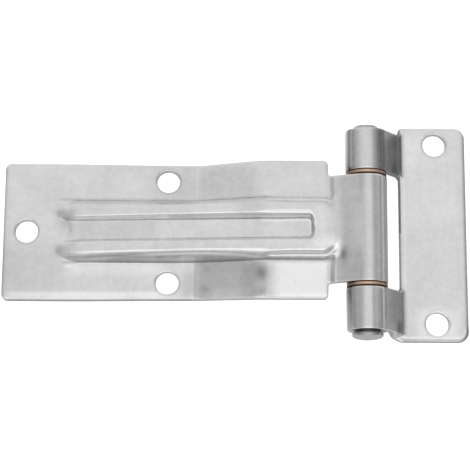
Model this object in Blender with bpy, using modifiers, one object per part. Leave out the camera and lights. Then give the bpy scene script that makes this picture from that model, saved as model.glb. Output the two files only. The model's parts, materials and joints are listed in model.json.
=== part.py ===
"""Trailer door hinge, lying open and flat on its mounting faces.

A long strap leaf runs to -X and a short frame leaf to +X. Both are pressed from
sheet and rolled into eyes round one headed pin that lies along Y. Two bronze
thrust washers part the central eye from the outer ones. The origin is on the
frame leaf's mounting face, midway between its two bolt holes. Lengths in metres.
"""

import math

import bmesh
import bpy

# Sheet, pin and eyes
SHEET = 0.0040
PIN_DIAMETER = 0.0120
PIN_CLEARANCE = 0.00025
EYE_INNER = PIN_DIAMETER / 2 + PIN_CLEARANCE
EYE_OUTER = EYE_INNER + SHEET
EYE_MIDDLE = (EYE_INNER + EYE_OUTER) / 2
AXIS_Z = EYE_OUTER
ROLL_GAP = 0.0006
BOLT_HOLE = 0.0115
HOLE_LIP = 0.0005
EDGE_ROLL_WIDTH = 0.0020
EDGE_ROLL_DROP = 0.0007

# Frame leaf, measured from the pin axis and from the middle of the pin
FRAME_REACH = 0.0500
FRAME_LENGTH = 0.1082
FRAME_EDGE = 0.0167
FRAME_CORNER = 0.0050
FRAME_HOLE_REACH = 0.0347
FRAME_HOLE_INSET = 0.00875
TAB_FOOT = 0.0177
TAB_FILLET = 0.0056
TAB_SHOULDER = 0.00405
TAB_ROOT_RADIUS = 0.0028
SHOULDER_RADIUS = 0.0015
TAB_FADE = 0.0026

# Washers between the eyes
WASHER_THICKNESS = 0.0020
WASHER_CLEARANCE = 0.0003
WASHER_DIAMETER = 0.0200
WASHER_CHAMFER = 0.0003

# Strap leaf
STRAP_REACH = 0.1795
STRAP_WIDTH = 0.0692
STRAP_CORNER = 0.0030
STRAP_END_HOLE_INSET = 0.0114
STRAP_PAIR_REACH = 0.0980
STRAP_PAIR_INSET = 0.0086
WING_STEP = 0.0191
WING_CORNER = 0.0022
NECK_WIDTH = 0.0533
NECK_CORNER = 0.0018
NECK_BEND = 0.0174
NECK_STEP = 0.0022
NECK_SLOPE = math.radians(17)
WAIST_DRAW = 0.0006

# Joggle that lifts the strap from its mounting face to the plateau
RAMP_START = 0.0844
RAMP_END = 0.0515
PLATEAU_HEIGHT = 0.0136
RAMP_BEND = 0.0022

# Grooved bead pressed along the middle of the strap
BEAD_INSET = 0.0261
BEAD_LEVEL = 0.0450
BEAD_NOSE_RISE = 0.0027
BEAD_TOP = 0.0186
BEAD_WIDTH = 0.0244
BEAD_WALL = 0.0035
BEAD_SHOULDER = 0.0015
BEAD_FOOT = 0.0005
BEAD_NOSE = 0.0150
CROWN_REACH = 0.0118
CROWN_REST = 0.0010
NECK_WALL = 0.0090
NECK_WALL_FADE = 0.0060
GROOVE_WIDTH = 0.0094
GROOVE_WALL = 0.0022
GROOVE_END = 0.0271
GROOVE_CORNER = 0.0022
GROOVE_SHOULDER = 0.0009
GROOVE_FOOT = 0.0004
GROOVE_END_DEPTH = 0.0055

# Pin ends
PIN_HEAD_DIAMETER = 0.0151
PIN_HEAD_GAP = 0.0004
PIN_HEAD_EDGE = 0.0024
PIN_HEAD_DOME = 0.0014
PIN_TAIL_EDGE = 0.0007
PIN_TAIL_DOME = 0.0014

# Worked out from the sizes above
CENTRE_EYE_END = NECK_WIDTH / 2
TAB_INNER = CENTRE_EYE_END + WASHER_THICKNESS + 2 * WASHER_CLEARANCE
TAB_OUTER = FRAME_LENGTH / 2 - TAB_SHOULDER
PIN_X = -FRAME_HOLE_REACH
EYE_TOP = AXIS_Z + EYE_OUTER
BEAD_START = STRAP_REACH - BEAD_INSET
BEAD_SLOPE = (BEAD_TOP - SHEET - BEAD_NOSE_RISE) / (BEAD_START - BEAD_LEVEL)
CROWN_BOW = (EYE_TOP - BEAD_TOP) / (CROWN_REACH - CROWN_REST) ** 2
GROOVE_SLOPE = (EYE_TOP - GROOVE_END_DEPTH - SHEET) / (BEAD_START - GROOVE_END)

# How finely the shapes are divided
ARC_STEP = math.radians(10)
CORNER_STEP = math.radians(15)
FLAT_ANGLE = math.radians(0.1)
SHADED_ANGLE = math.radians(30)
WELD = 1e-6
HOLE_OVERCUT = 0.0075
HOLE_SIDES = 36
WASHER_SIDES = 40
PIN_SIDES = 48
BALL_RINGS = 8
BALL_TURNS = 16

STEEL = ("zinc_plated_steel", (0.62, 0.63, 0.64, 1.0), 0.38, 1.0)
PIN_STEEL = ("bright_pin_steel", (0.50, 0.51, 0.52, 1.0), 0.32, 1.0)
BRONZE = ("sintered_bronze", (0.52, 0.33, 0.20, 1.0), 0.42, 1.0)


def clear_scene():
    for old in list(bpy.data.objects):
        bpy.data.objects.remove(old, do_unlink=True)


def new_collection(name):
    collection = bpy.data.collections.new(name)
    bpy.context.scene.collection.children.link(collection)
    return collection


def new_material(name, colour, roughness, metallic):
    material = bpy.data.materials.new(name)
    material.use_nodes = True
    shader = material.node_tree.nodes["Principled BSDF"]
    shader.inputs["Base Color"].default_value = colour
    shader.inputs["Roughness"].default_value = roughness
    shader.inputs["Metallic"].default_value = metallic
    material.diffuse_color = colour
    return material


def spread(first, last, steps):
    """Evenly spaced places from first to last, both included."""
    return [first + (last - first) * i / steps for i in range(steps)] + [last]


def filleted(corners):
    """Outline through (x, y, radius) corners, each rounded by an arc."""
    points = []
    count = len(corners)
    for i, (x, y, radius) in enumerate(corners):
        if radius <= 0:
            points.append((x, y))
            continue
        before = corners[i - 1]
        after = corners[(i + 1) % count]
        angle_in = math.atan2(y - before[1], x - before[0])
        angle_out = math.atan2(after[1] - y, after[0] - x)
        turn = (angle_out - angle_in + math.pi) % (2 * math.pi) - math.pi
        back = radius * math.tan(abs(turn) / 2)
        side = math.copysign(math.pi / 2, turn)
        start_x = x - back * math.cos(angle_in)
        start_y = y - back * math.sin(angle_in)
        centre_x = start_x + radius * math.cos(angle_in + side)
        centre_y = start_y + radius * math.sin(angle_in + side)
        steps = max(2, round(abs(turn) / CORNER_STEP))
        for angle in spread(angle_in - side, angle_in - side + turn, steps):
            points.append((centre_x + radius * math.cos(angle), centre_y + radius * math.sin(angle)))
    return points


def mirrored_outline(half):
    """Closed outline from the corners of its +Y half, listed from -X to +X."""
    return filleted(half + [(x, -y, radius) for x, y, radius in reversed(half)])


def prism(name, outline, thickness, collection):
    """Flat outline in XY, thickness deep and centred on Z = 0, as a mesh."""
    curve = bpy.data.curves.new(name + "_outline", "CURVE")
    curve.dimensions = "2D"
    curve.fill_mode = "BOTH"
    curve.extrude = thickness / 2
    spline = curve.splines.new("POLY")
    spline.points.add(len(outline) - 1)
    for point, (x, y) in zip(spline.points, outline):
        point.co = (x, y, 0.0, 1.0)
    spline.use_cyclic_u = True
    source = bpy.data.objects.new(name + "_outline", curve)
    collection.objects.link(source)
    return as_mesh_object(name, source, collection)


def as_mesh_object(name, source, collection):
    """Evaluated copy of source with its seams welded. The source is removed."""
    depsgraph = bpy.context.evaluated_depsgraph_get()
    mesh = bpy.data.meshes.new_from_object(source.evaluated_get(depsgraph))
    mesh.name = name
    welded = bmesh.new()
    welded.from_mesh(mesh)
    bmesh.ops.remove_doubles(welded, verts=welded.verts, dist=WELD)
    welded.to_mesh(mesh)
    welded.free()
    result = bpy.data.objects.new(name, mesh)
    result.matrix_world = source.matrix_world.copy()
    collection.objects.link(result)
    bpy.data.objects.remove(source, do_unlink=True)
    return result


def hide_cutter(cutter):
    cutter.display_type = "WIRE"
    cutter.hide_render = True
    return cutter


def add_boolean(target, cutter, operation):
    boolean = target.modifiers.new(operation.lower() + "_" + cutter.name, "BOOLEAN")
    boolean.operation = operation
    boolean.solver = "EXACT"
    boolean.object = cutter


def gridded_slab(name, along, across, thickness, collection):
    """Flat slab whose top and underside are divided at the given places."""
    bm = bmesh.new()
    bmesh.ops.create_grid(bm, x_segments=len(along) - 1, y_segments=len(across) - 1, size=1.0)
    for vertex in bm.verts:
        column = round((vertex.co.x + 1) / 2 * (len(along) - 1))
        row = round((vertex.co.y + 1) / 2 * (len(across) - 1))
        vertex.co = (along[column], across[row], -thickness / 2)
    raised = bmesh.ops.extrude_face_region(bm, geom=bm.faces[:])
    upper = [part for part in raised["geom"] if isinstance(part, bmesh.types.BMVert)]
    bmesh.ops.translate(bm, verts=upper, vec=(0.0, 0.0, thickness))
    bmesh.ops.recalc_face_normals(bm, faces=bm.faces)
    mesh = bpy.data.meshes.new(name)
    bm.to_mesh(mesh)
    bm.free()
    slab = bpy.data.objects.new(name, mesh)
    collection.objects.link(slab)
    return slab


def pressed_sheet(name, along, across, outline, form, parts, cutters):
    """Sheet blank cut to its outline, then pressed: form moves each vertex."""
    slab = gridded_slab(name + "_slab", along, across, SHEET, cutters)
    trim = prism(name + "_trim", outline, 2 * SHEET, cutters)
    add_boolean(slab, trim, "INTERSECT")
    sheet = as_mesh_object(name, slab, parts)
    bpy.data.objects.remove(trim, do_unlink=True)
    bm = bmesh.new()
    bm.from_mesh(sheet.data)
    bmesh.ops.triangulate(bm, faces=bm.faces[:])
    for vertex in bm.verts:
        vertex.co = form(vertex.co.x, vertex.co.y, vertex.co.z > 0)
    bm.to_mesh(sheet.data)
    bm.free()
    merge = sheet.modifiers.new("merge_flat_facets", "DECIMATE")
    merge.decimate_type = "DISSOLVE"
    merge.angle_limit = FLAT_ANGLE
    sheet.modifiers.new("flat_triangles", "TRIANGULATE")
    return sheet


def turned(name, profile, segments, collection, is_ring=False):
    """Turned solid about Z from (radius, z) points, down its outer side."""
    mesh = bpy.data.meshes.new(name)
    points = [(radius, 0.0, z) for radius, z in profile]
    edges = [(i, i + 1) for i in range(len(points) - 1)]
    if is_ring:
        edges.append((len(points) - 1, 0))
    mesh.from_pydata(points, edges, [])
    solid = bpy.data.objects.new(name, mesh)
    collection.objects.link(solid)
    screw = solid.modifiers.new("turn", "SCREW")
    screw.steps = segments
    screw.render_steps = segments
    screw.use_merge_vertices = True
    screw.merge_threshold = WELD
    return solid


def bolt_hole_cutter(name, x, y, sheet_bottom, cutters):
    """Straight bolt hole that opens into a small chamfered lip on both faces."""
    radius = BOLT_HOLE / 2
    top = sheet_bottom + SHEET
    flare = radius + HOLE_LIP + HOLE_OVERCUT
    profile = [
        (0.0, top + HOLE_OVERCUT),
        (flare, top + HOLE_OVERCUT),
        (radius, top - HOLE_LIP),
        (radius, sheet_bottom + HOLE_LIP),
        (flare, sheet_bottom - HOLE_OVERCUT),
        (0.0, sheet_bottom - HOLE_OVERCUT),
    ]
    cutter = turned(name, profile, HOLE_SIDES, cutters)
    cutter.location = (x, y, 0.0)
    return hide_cutter(cutter)


def wall_share(distance, run, top_round, foot_round):
    """1 inside a wall's top edge, 0 beyond its foot, rounded at both."""
    if distance <= -top_round:
        return 1.0
    if distance < top_round:
        return 1.0 - (distance + top_round) ** 2 / (4 * top_round * run)
    if distance <= run - foot_round:
        return 1.0 - distance / run
    if distance < run + foot_round:
        return (run + foot_round - distance) ** 2 / (4 * foot_round * run)
    return 0.0


def rounded_rise(distance, ease):
    """Distance past a bend, or 0 before it, with the corner rounded over +-ease."""
    if distance <= -ease:
        return 0.0
    if distance < ease:
        return (distance + ease) ** 2 / (4 * ease)
    return distance


def smooth(share):
    share = min(1.0, max(0.0, share))
    return share * share * (3 - 2 * share)


def follow(x, z, heading, bends, distance):
    """Place and heading at a distance along a path of (length, turn) stretches."""
    for length, turn in bends:
        step = min(distance, length)
        bend = turn * step / length
        chord = step
        if abs(bend) > 1e-9:
            chord = step * math.sin(bend / 2) / (bend / 2)
        x += chord * math.cos(heading + bend / 2)
        z += chord * math.sin(heading + bend / 2)
        heading += bend
        distance -= step
        if distance <= 0:
            break
    return x, z, heading


def tangent_rise(run, drop):
    """Slope of the line from a point beside the eye that touches the eye's outside.

    The point lies run from the pin axis along X and drop below it.
    """
    return math.asin(EYE_OUTER / math.hypot(run, drop)) + math.atan2(drop, run)


def roll_turn():
    """Turn from an eye's tangent line round to where the rolled end stops."""
    return 2 * math.pi - math.acos((EYE_INNER - ROLL_GAP) / EYE_OUTER)


def edge_lines(edge, inwards):
    """Two places inside an edge where the roll of the sheared edge is divided."""
    return sorted([edge + inwards * EDGE_ROLL_WIDTH / 3, edge + inwards * EDGE_ROLL_WIDTH])


def corner_inside(inside_x, inside_y, radius):
    """Distance inside a rounded corner, from the distances inside its two edges."""
    if inside_x < radius and inside_y < radius:
        return radius - math.hypot(radius - inside_x, radius - inside_y)
    return min(inside_x, inside_y)


def edge_drop(inside):
    """How far the sheared edge is rolled down, by the distance inside the outline."""
    share = 1 - max(0.0, inside) / EDGE_ROLL_WIDTH
    return EDGE_ROLL_DROP * max(0.0, share) ** 2


# Frame leaf

TAB_SLOPE = tangent_rise(TAB_FOOT, AXIS_Z - SHEET)
TAB_FILLET_RUN = TAB_FILLET * math.tan(TAB_SLOPE / 2)
TAB_STRAIGHT = math.sqrt(TAB_FOOT ** 2 + (AXIS_Z - SHEET) ** 2 - EYE_OUTER ** 2) - TAB_FILLET_RUN
TAB_ROLL = roll_turn()
TAB_BENDS = [
    (FRAME_REACH - TAB_FOOT - TAB_FILLET_RUN, 0.0),
    ((TAB_FILLET + SHEET / 2) * TAB_SLOPE, -TAB_SLOPE),
    (TAB_STRAIGHT, 0.0),
    (EYE_MIDDLE * TAB_ROLL, TAB_ROLL),
]
TAB_DEVELOPED = sum(length for length, turn in TAB_BENDS)


def frame_inside(x, y):
    """Distance inside the outline of the frame leaf's blank."""
    end = FRAME_LENGTH / 2 - abs(y)
    plate = min(
        corner_inside(FRAME_REACH - x, end, FRAME_CORNER),
        corner_inside(x - FRAME_EDGE, end, SHOULDER_RADIUS),
    )
    tab = min(FRAME_REACH - x, abs(y) - TAB_INNER, TAB_OUTER - abs(y))
    return max(plate, tab)


def frame_form(x, y, is_top):
    """Blank to pressed frame leaf: only the two tabs are bent and rolled."""
    lift = SHEET / 2 - edge_drop(frame_inside(x, y)) if is_top else -SHEET / 2
    travelled = FRAME_REACH - x
    mid_x, mid_z, heading = follow(FRAME_REACH, SHEET / 2, math.pi, TAB_BENDS, travelled)
    bent_x = mid_x + lift * math.cos(heading - math.pi / 2)
    bent_z = mid_z + lift * math.sin(heading - math.pi / 2)
    off_tab = max(TAB_INNER - abs(y), abs(y) - TAB_OUTER)
    tab_share = 1 - smooth(off_tab / TAB_FADE)
    flat_z = SHEET / 2 + lift
    return (
        PIN_X + x + (bent_x - x) * tab_share,
        y,
        flat_z + (bent_z - flat_z) * tab_share,
    )


def frame_outline():
    end = FRAME_REACH - TAB_DEVELOPED
    half = [
        (FRAME_EDGE, TAB_INNER, TAB_ROOT_RADIUS),
        (end, TAB_INNER, 0.0),
        (end, TAB_OUTER, 0.0),
        (FRAME_EDGE, TAB_OUTER, TAB_ROOT_RADIUS),
        (FRAME_EDGE, FRAME_LENGTH / 2, SHOULDER_RADIUS),
        (FRAME_REACH, FRAME_LENGTH / 2, FRAME_CORNER),
    ]
    return mirrored_outline(half)


def frame_stations():
    """Places along the frame leaf's blank where it is divided, free edge last."""
    fillet_start = FRAME_REACH - TAB_BENDS[0][0]
    fillet_end = fillet_start - TAB_BENDS[1][0]
    roll_start = fillet_end - TAB_BENDS[2][0]
    end = FRAME_REACH - TAB_DEVELOPED
    roll = spread(end, roll_start, math.ceil(TAB_ROLL / ARC_STEP))
    fillet = spread(fillet_end, fillet_start, math.ceil(TAB_SLOPE / ARC_STEP))
    edges = edge_lines(FRAME_EDGE, 1) + edge_lines(FRAME_REACH, -1)
    return sorted([end - SHEET] + roll + fillet + edges + [FRAME_REACH + SHEET])


def frame_leaf(parts, cutters, material):
    half = spread(TAB_INNER - TAB_FADE, TAB_INNER, 4) + edge_lines(TAB_INNER, 1)
    half += edge_lines(TAB_OUTER, -1) + spread(TAB_OUTER, TAB_OUTER + TAB_FADE, 3)
    half += edge_lines(FRAME_LENGTH / 2, -1) + [FRAME_LENGTH / 2 + SHEET]
    half.sort()
    across = [-y for y in reversed(half)] + half
    leaf = pressed_sheet("frame_leaf", frame_stations(), across, frame_outline(), frame_form,
                         parts, cutters)
    for label, side in (("upper", 1), ("lower", -1)):
        y = side * (FRAME_LENGTH / 2 - FRAME_HOLE_INSET)
        add_boolean(leaf, bolt_hole_cutter("frame_hole_" + label, 0.0, y, 0.0, cutters), "DIFFERENCE")
    leaf.data.materials.append(material)
    return leaf


# Strap leaf

STRAP_ROLL = roll_turn() - NECK_SLOPE
STRAP_ROLL_LENGTH = EYE_MIDDLE * STRAP_ROLL


def wing_height(x):
    """Top of the strap beside the bead, x being measured from the pin axis."""
    touch = EYE_OUTER * math.sin(NECK_SLOPE)
    if x > -touch:
        return AXIS_Z + math.sqrt(max(0.0, EYE_OUTER ** 2 - x ** 2))
    ramp = (PLATEAU_HEIGHT - SHEET) / (RAMP_START - RAMP_END)
    rise = rounded_rise(x + RAMP_START, RAMP_BEND) - rounded_rise(x + RAMP_END, RAMP_BEND)
    pressed = SHEET + ramp * rise
    neck = AXIS_Z + EYE_OUTER * math.cos(NECK_SLOPE) + math.tan(NECK_SLOPE) * (x + touch)
    return pressed + (neck - pressed) * smooth((x + NECK_BEND) / NECK_STEP + 0.5)


def crest_height(x):
    """Top of the bead, which climbs straight, runs level and rises again to the eye."""
    climb = BEAD_TOP - BEAD_SLOPE * rounded_rise(-x - BEAD_LEVEL, 2 * RAMP_BEND)
    crown = EYE_TOP - CROWN_BOW * max(0.0, -x - CROWN_REST) ** 2
    return max(climb, crown)


def nose_share(x, y):
    """0 before the rounded left end of a rib, 1 where it has its full height."""
    rib_middle = (BEAD_WIDTH + GROOVE_WIDTH) / 4
    rib_half = (BEAD_WIDTH - GROOVE_WIDTH) / 4 + BEAD_WALL
    off = min(1.0, abs(abs(y) - rib_middle) / rib_half)
    back = rib_half * (1 - math.sqrt(1 - off * off))
    return smooth((x + BEAD_START - back) / BEAD_NOSE)


def groove_distance(x, y):
    """Distance outside the groove's flat floor, whose right end has round corners."""
    over_x = x + GROOVE_END + GROOVE_CORNER
    over_y = abs(y) - GROOVE_WIDTH / 2 + GROOVE_CORNER
    if over_x > 0 and over_y > 0:
        return math.hypot(over_x, over_y) - GROOVE_CORNER
    return max(over_x, over_y) - GROOVE_CORNER


def strap_top(x, y):
    """Height of the pressed strap's upper face."""
    skin = wing_height(x)
    crest = max(skin, crest_height(x))
    run = BEAD_WALL + (NECK_WALL - BEAD_WALL) * smooth((x + NECK_BEND) / NECK_WALL_FADE)
    raised = wall_share(abs(y) - BEAD_WIDTH / 2, run, BEAD_SHOULDER, BEAD_FOOT)
    height = skin + (crest - skin) * raised * nose_share(x, y)
    floor = max(skin, SHEET + GROOVE_SLOPE * (x + BEAD_START))
    sunk = wall_share(groove_distance(x, y), GROOVE_WALL, GROOVE_FOOT, GROOVE_SHOULDER)
    return height + (min(floor, height) - height) * sunk


BALL_OFFSETS = [(0.0, 0.0, SHEET)] + [
    (
        SHEET * math.sin(ring) * math.cos(turn),
        SHEET * math.sin(ring) * math.sin(turn),
        SHEET * math.cos(ring),
    )
    for ring in spread(0.0, math.pi / 2, BALL_RINGS)[1:]
    for turn in spread(0.0, 2 * math.pi, BALL_TURNS)[1:]
]


def strap_underside(x, y):
    """Lower face, nowhere nearer to the upper face than the sheet's thickness."""
    return min(strap_top(x + dx, y + dy) - dz for dx, dy, dz in BALL_OFFSETS)


def waist_draw(x, y):
    """How far a strap edge is drawn in towards the middle by the bead beside it."""
    wing_share = max(0.0, abs(y) - BEAD_WIDTH / 2) / (STRAP_WIDTH / 2 - BEAD_WIDTH / 2)
    before = smooth((x + BEAD_START) / (BEAD_START - RAMP_START))
    after = smooth((x + RAMP_START) / (RAMP_START - RAMP_END))
    return WAIST_DRAW * wing_share * (before - after)


def strap_inside(x, y):
    """Distance inside the outline of the strap's blank."""
    side = STRAP_WIDTH / 2 - abs(y)
    wing = min(
        corner_inside(x + STRAP_REACH, side, STRAP_CORNER),
        corner_inside(-WING_STEP - x, side, WING_CORNER),
    )
    neck = min(x + STRAP_REACH, CENTRE_EYE_END - abs(y))
    return max(wing, neck)


def strap_form(x, y, is_top):
    """Blank to pressed strap leaf. Past the pin axis the blank is rolled."""
    drop = edge_drop(strap_inside(x, y)) if is_top else 0.0
    if x > 0:
        roll = [(STRAP_ROLL_LENGTH, -STRAP_ROLL)]
        mid_x, mid_z, heading = follow(0.0, AXIS_Z + EYE_MIDDLE, 0.0, roll, x)
        lift = SHEET / 2 - drop if is_top else -SHEET / 2
        normal = heading + math.pi / 2
        return (PIN_X + mid_x + lift * math.cos(normal), y, mid_z + lift * math.sin(normal))
    height = strap_top(x, y) - drop if is_top else strap_underside(x, y)
    return (PIN_X + x, math.copysign(abs(y) - waist_draw(x, y), y), height)


def strap_outline():
    half = [
        (-STRAP_REACH, STRAP_WIDTH / 2, STRAP_CORNER),
        (-WING_STEP, STRAP_WIDTH / 2, WING_CORNER),
        (-WING_STEP, CENTRE_EYE_END, NECK_CORNER),
        (STRAP_ROLL_LENGTH, CENTRE_EYE_END, 0.0),
    ]
    return mirrored_outline(half)


def strap_stations():
    """Places along the strap's blank where it is divided, free end first."""
    nose = spread(-BEAD_START, -BEAD_START + 2 * BEAD_NOSE, 9)
    ramp_foot = spread(-RAMP_START - RAMP_BEND, -RAMP_START + RAMP_BEND, 3)
    ramp_top = spread(-RAMP_END - RAMP_BEND, -RAMP_END + RAMP_BEND, 3)
    crest_bend = spread(-BEAD_LEVEL - RAMP_BEND, -BEAD_LEVEL + 2 * RAMP_BEND, 3)
    corner = spread(-GROOVE_END - GROOVE_CORNER, -GROOVE_END + GROOVE_WALL + GROOVE_SHOULDER, 6)
    neck = spread(-NECK_BEND - NECK_STEP / 2, -NECK_BEND + NECK_STEP / 2, 4)
    onto_eye = spread((-NECK_BEND + NECK_STEP / 2 - CROWN_REACH) / 2, -CROWN_REACH, 1)
    onto_eye += spread(-CROWN_REACH, 0.0, 7)
    roll = spread(0.0, STRAP_ROLL_LENGTH, math.ceil(STRAP_ROLL / ARC_STEP))
    edges = edge_lines(-STRAP_REACH, 1) + edge_lines(-WING_STEP, -1)
    ends = [-STRAP_REACH - SHEET, STRAP_ROLL_LENGTH + SHEET]
    stretches = [nose, ramp_foot, ramp_top, crest_bend, corner, neck, onto_eye, roll, edges, ends]
    return sorted(set(place for stretch in stretches for place in stretch))


def strap_rows():
    """Places across the strap where it is divided, from the middle outwards."""
    groove_edge = GROOVE_WIDTH / 2
    crest_inner = groove_edge + GROOVE_WALL
    crest_outer = BEAD_WIDTH / 2
    foot = crest_outer + BEAD_WALL
    half = [groove_edge - GROOVE_CORNER]
    half += spread(groove_edge - GROOVE_FOOT, groove_edge + GROOVE_FOOT, 1)
    half += spread(crest_inner - GROOVE_SHOULDER, crest_inner + GROOVE_SHOULDER, 3)
    half += spread(crest_outer - BEAD_SHOULDER, crest_outer + BEAD_SHOULDER, 3)
    half += spread(foot - BEAD_FOOT, foot + BEAD_FOOT, 2)
    half += spread(foot + BEAD_FOOT, crest_outer + NECK_WALL, 2)[1:]
    half += edge_lines(CENTRE_EYE_END, -1) + edge_lines(STRAP_WIDTH / 2, -1)
    half.append(STRAP_WIDTH / 2 + SHEET)
    return [-y for y in reversed(half)] + half


def strap_leaf(parts, cutters, material):
    leaf = pressed_sheet("strap_leaf", strap_stations(), strap_rows(), strap_outline(), strap_form,
                         parts, cutters)
    holes = [
        ("strap_hole_end", STRAP_REACH - STRAP_END_HOLE_INSET, 0.0),
        ("strap_hole_upper", STRAP_PAIR_REACH, STRAP_WIDTH / 2 - STRAP_PAIR_INSET),
        ("strap_hole_lower", STRAP_PAIR_REACH, STRAP_PAIR_INSET - STRAP_WIDTH / 2),
    ]
    for name, reach, y in holes:
        add_boolean(leaf, bolt_hole_cutter(name, PIN_X - reach, y, 0.0, cutters), "DIFFERENCE")
    leaf.data.materials.append(material)
    return leaf


# Pin and washers

def domed(radius, rim_z, rise, steps):
    """Profile of a shallow dome from its top down to its rim."""
    return [
        (radius * math.sin(angle), rim_z + rise * math.cos(angle))
        for angle in spread(0.0, math.pi / 2, steps)
    ]


def lie_along_y(solid):
    """Turned solids stand on Z. This lays one on the pin axis, its +Z to +Y."""
    solid.location = (PIN_X, 0.0, AXIS_Z)
    solid.rotation_euler = (-math.pi / 2, 0.0, 0.0)


def hinge_pin(parts, material):
    head_top = -TAB_OUTER - PIN_HEAD_GAP
    head_rim = head_top - PIN_HEAD_EDGE
    tail_rim = TAB_OUTER + PIN_TAIL_EDGE
    head = domed(PIN_HEAD_DIAMETER / 2, -head_rim, PIN_HEAD_DOME, 5)
    profile = domed(PIN_DIAMETER / 2, tail_rim, PIN_TAIL_DOME, 4)
    profile += [(PIN_DIAMETER / 2, head_top), (PIN_HEAD_DIAMETER / 2, head_top)]
    profile += [(radius, -z) for radius, z in reversed(head)]
    pin = turned("hinge_pin", profile, PIN_SIDES, parts)
    lie_along_y(pin)
    pin.data.materials.append(material)
    return pin


def thrust_washer(name, side, parts, material):
    """Plain bronze ring on the pin between the central eye and an outer one."""
    middle = side * (CENTRE_EYE_END + TAB_INNER) / 2
    top = middle + WASHER_THICKNESS / 2
    bottom = middle - WASHER_THICKNESS / 2
    outer = WASHER_DIAMETER / 2
    profile = [
        (EYE_INNER, top),
        (outer - WASHER_CHAMFER, top),
        (outer, top - WASHER_CHAMFER),
        (outer, bottom + WASHER_CHAMFER),
        (outer - WASHER_CHAMFER, bottom),
        (EYE_INNER, bottom),
    ]
    washer = turned(name, profile, WASHER_SIDES, parts, is_ring=True)
    lie_along_y(washer)
    washer.data.materials.append(material)
    return washer


def shade_round_faces(part):
    part.data.shade_smooth()
    part.data.set_sharp_from_angle(angle=SHADED_ANGLE)


def main():
    clear_scene()
    parts = new_collection("trailer_door_hinge")
    cutters = new_collection("cutters")
    made = [
        strap_leaf(parts, cutters, new_material("strap_" + STEEL[0], *STEEL[1:])),
        frame_leaf(parts, cutters, new_material("frame_" + STEEL[0], *STEEL[1:])),
        hinge_pin(parts, new_material(*PIN_STEEL)),
        thrust_washer("upper_thrust_washer", 1, parts, new_material("upper_" + BRONZE[0], *BRONZE[1:])),
        thrust_washer("lower_thrust_washer", -1, parts, new_material("lower_" + BRONZE[0], *BRONZE[1:])),
    ]
    for part in made:
        shade_round_faces(part)


main()
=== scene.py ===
"""Trailer door hinge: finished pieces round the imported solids.

The two leaves are cut as flat blanks, pressed by rule and rolled round the pin along
a bend line. The washers are swept by Geometry Nodes and the pin is spun. Lengths are
metres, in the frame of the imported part: pin along Y, strap leaf towards -X.
"""

import json
import math

import bmesh
import bpy
import numpy as np
from bpy.props import FloatProperty, FloatVectorProperty, PointerProperty
from mathutils import Matrix, Vector
from mathutils.geometry import delaunay_2d_cdt


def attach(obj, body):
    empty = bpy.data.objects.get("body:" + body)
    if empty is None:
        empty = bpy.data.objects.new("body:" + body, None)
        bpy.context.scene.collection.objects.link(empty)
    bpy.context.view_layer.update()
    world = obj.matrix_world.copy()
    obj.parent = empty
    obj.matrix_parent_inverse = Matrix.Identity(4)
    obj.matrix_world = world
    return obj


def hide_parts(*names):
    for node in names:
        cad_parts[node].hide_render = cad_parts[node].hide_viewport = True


bl_info = {
    "name": "Trailer door hinge",
    "version": (1, 0, 0),
    "blender": (4, 5, 0),
    "location": "3D View > Sidebar > Door hinge",
    "description": "Builds the finished pieces of a strap hinge and a studio round it",
    "category": "Object",
}

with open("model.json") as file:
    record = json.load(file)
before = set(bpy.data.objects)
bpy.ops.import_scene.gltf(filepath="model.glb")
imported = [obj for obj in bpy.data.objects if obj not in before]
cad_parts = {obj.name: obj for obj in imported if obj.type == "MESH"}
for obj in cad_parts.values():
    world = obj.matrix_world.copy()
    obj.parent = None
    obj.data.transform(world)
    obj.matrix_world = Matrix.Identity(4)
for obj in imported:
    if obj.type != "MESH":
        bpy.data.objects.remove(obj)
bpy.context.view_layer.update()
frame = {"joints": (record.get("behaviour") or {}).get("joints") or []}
JOINT = frame["joints"][0]
PIN_X = JOINT["pos_m"][0]
AXIS_Z = JOINT["pos_m"][2]


def length(name, default, description):
    return FloatProperty(name=name, default=default, description=description,
                         precision=5, unit="LENGTH", subtype="DISTANCE")


def factor(name, default, description):
    return FloatProperty(name=name, default=default, description=description, min=0.0)


def angle(name, degrees, description):
    return FloatProperty(name=name, default=math.radians(degrees), description=description,
                         subtype="ANGLE", unit="ROTATION")


def colour(name, default, description):
    return FloatVectorProperty(name=name, default=default, description=description,
                               size=3, min=0.0, max=1.0, subtype="COLOR")


def tent_side(name, values):
    return FloatVectorProperty(name=name, default=values, size=11, min=0.0,
                               description="Light from that side, from eye level up to overhead")


# ---------------------------------------------------------------- sizes

class SheetSizes(bpy.types.PropertyGroup):
    """What both leaves share."""
    thickness: length("Sheet", 0.0040, "Thickness of the sheet")
    roll_gap: length("Roll gap", 0.0006, "Gap between a rolled end and its own sheet")
    bolt_hole: length("Bolt hole", 0.0115, "Diameter of the bolt holes")
    hole_roll: length("Hole roll", 0.0011, "Width of the drawn-in rim round a hole")
    hole_drop: length("Hole drop", 0.00028, "Depth of the drawn-in rim round a hole")
    edge_roll: length("Edge roll", 0.0012, "Width of the roll along a sheared edge")
    edge_drop: length("Edge drop", 0.00028, "Depth of the roll along a sheared edge")
    edge_round: length("Edge round", 0.00022, "Rounding where the roll meets the cut")
    burr: length("Burr", 0.00012, "Broken corner at the foot of the cut")


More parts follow.
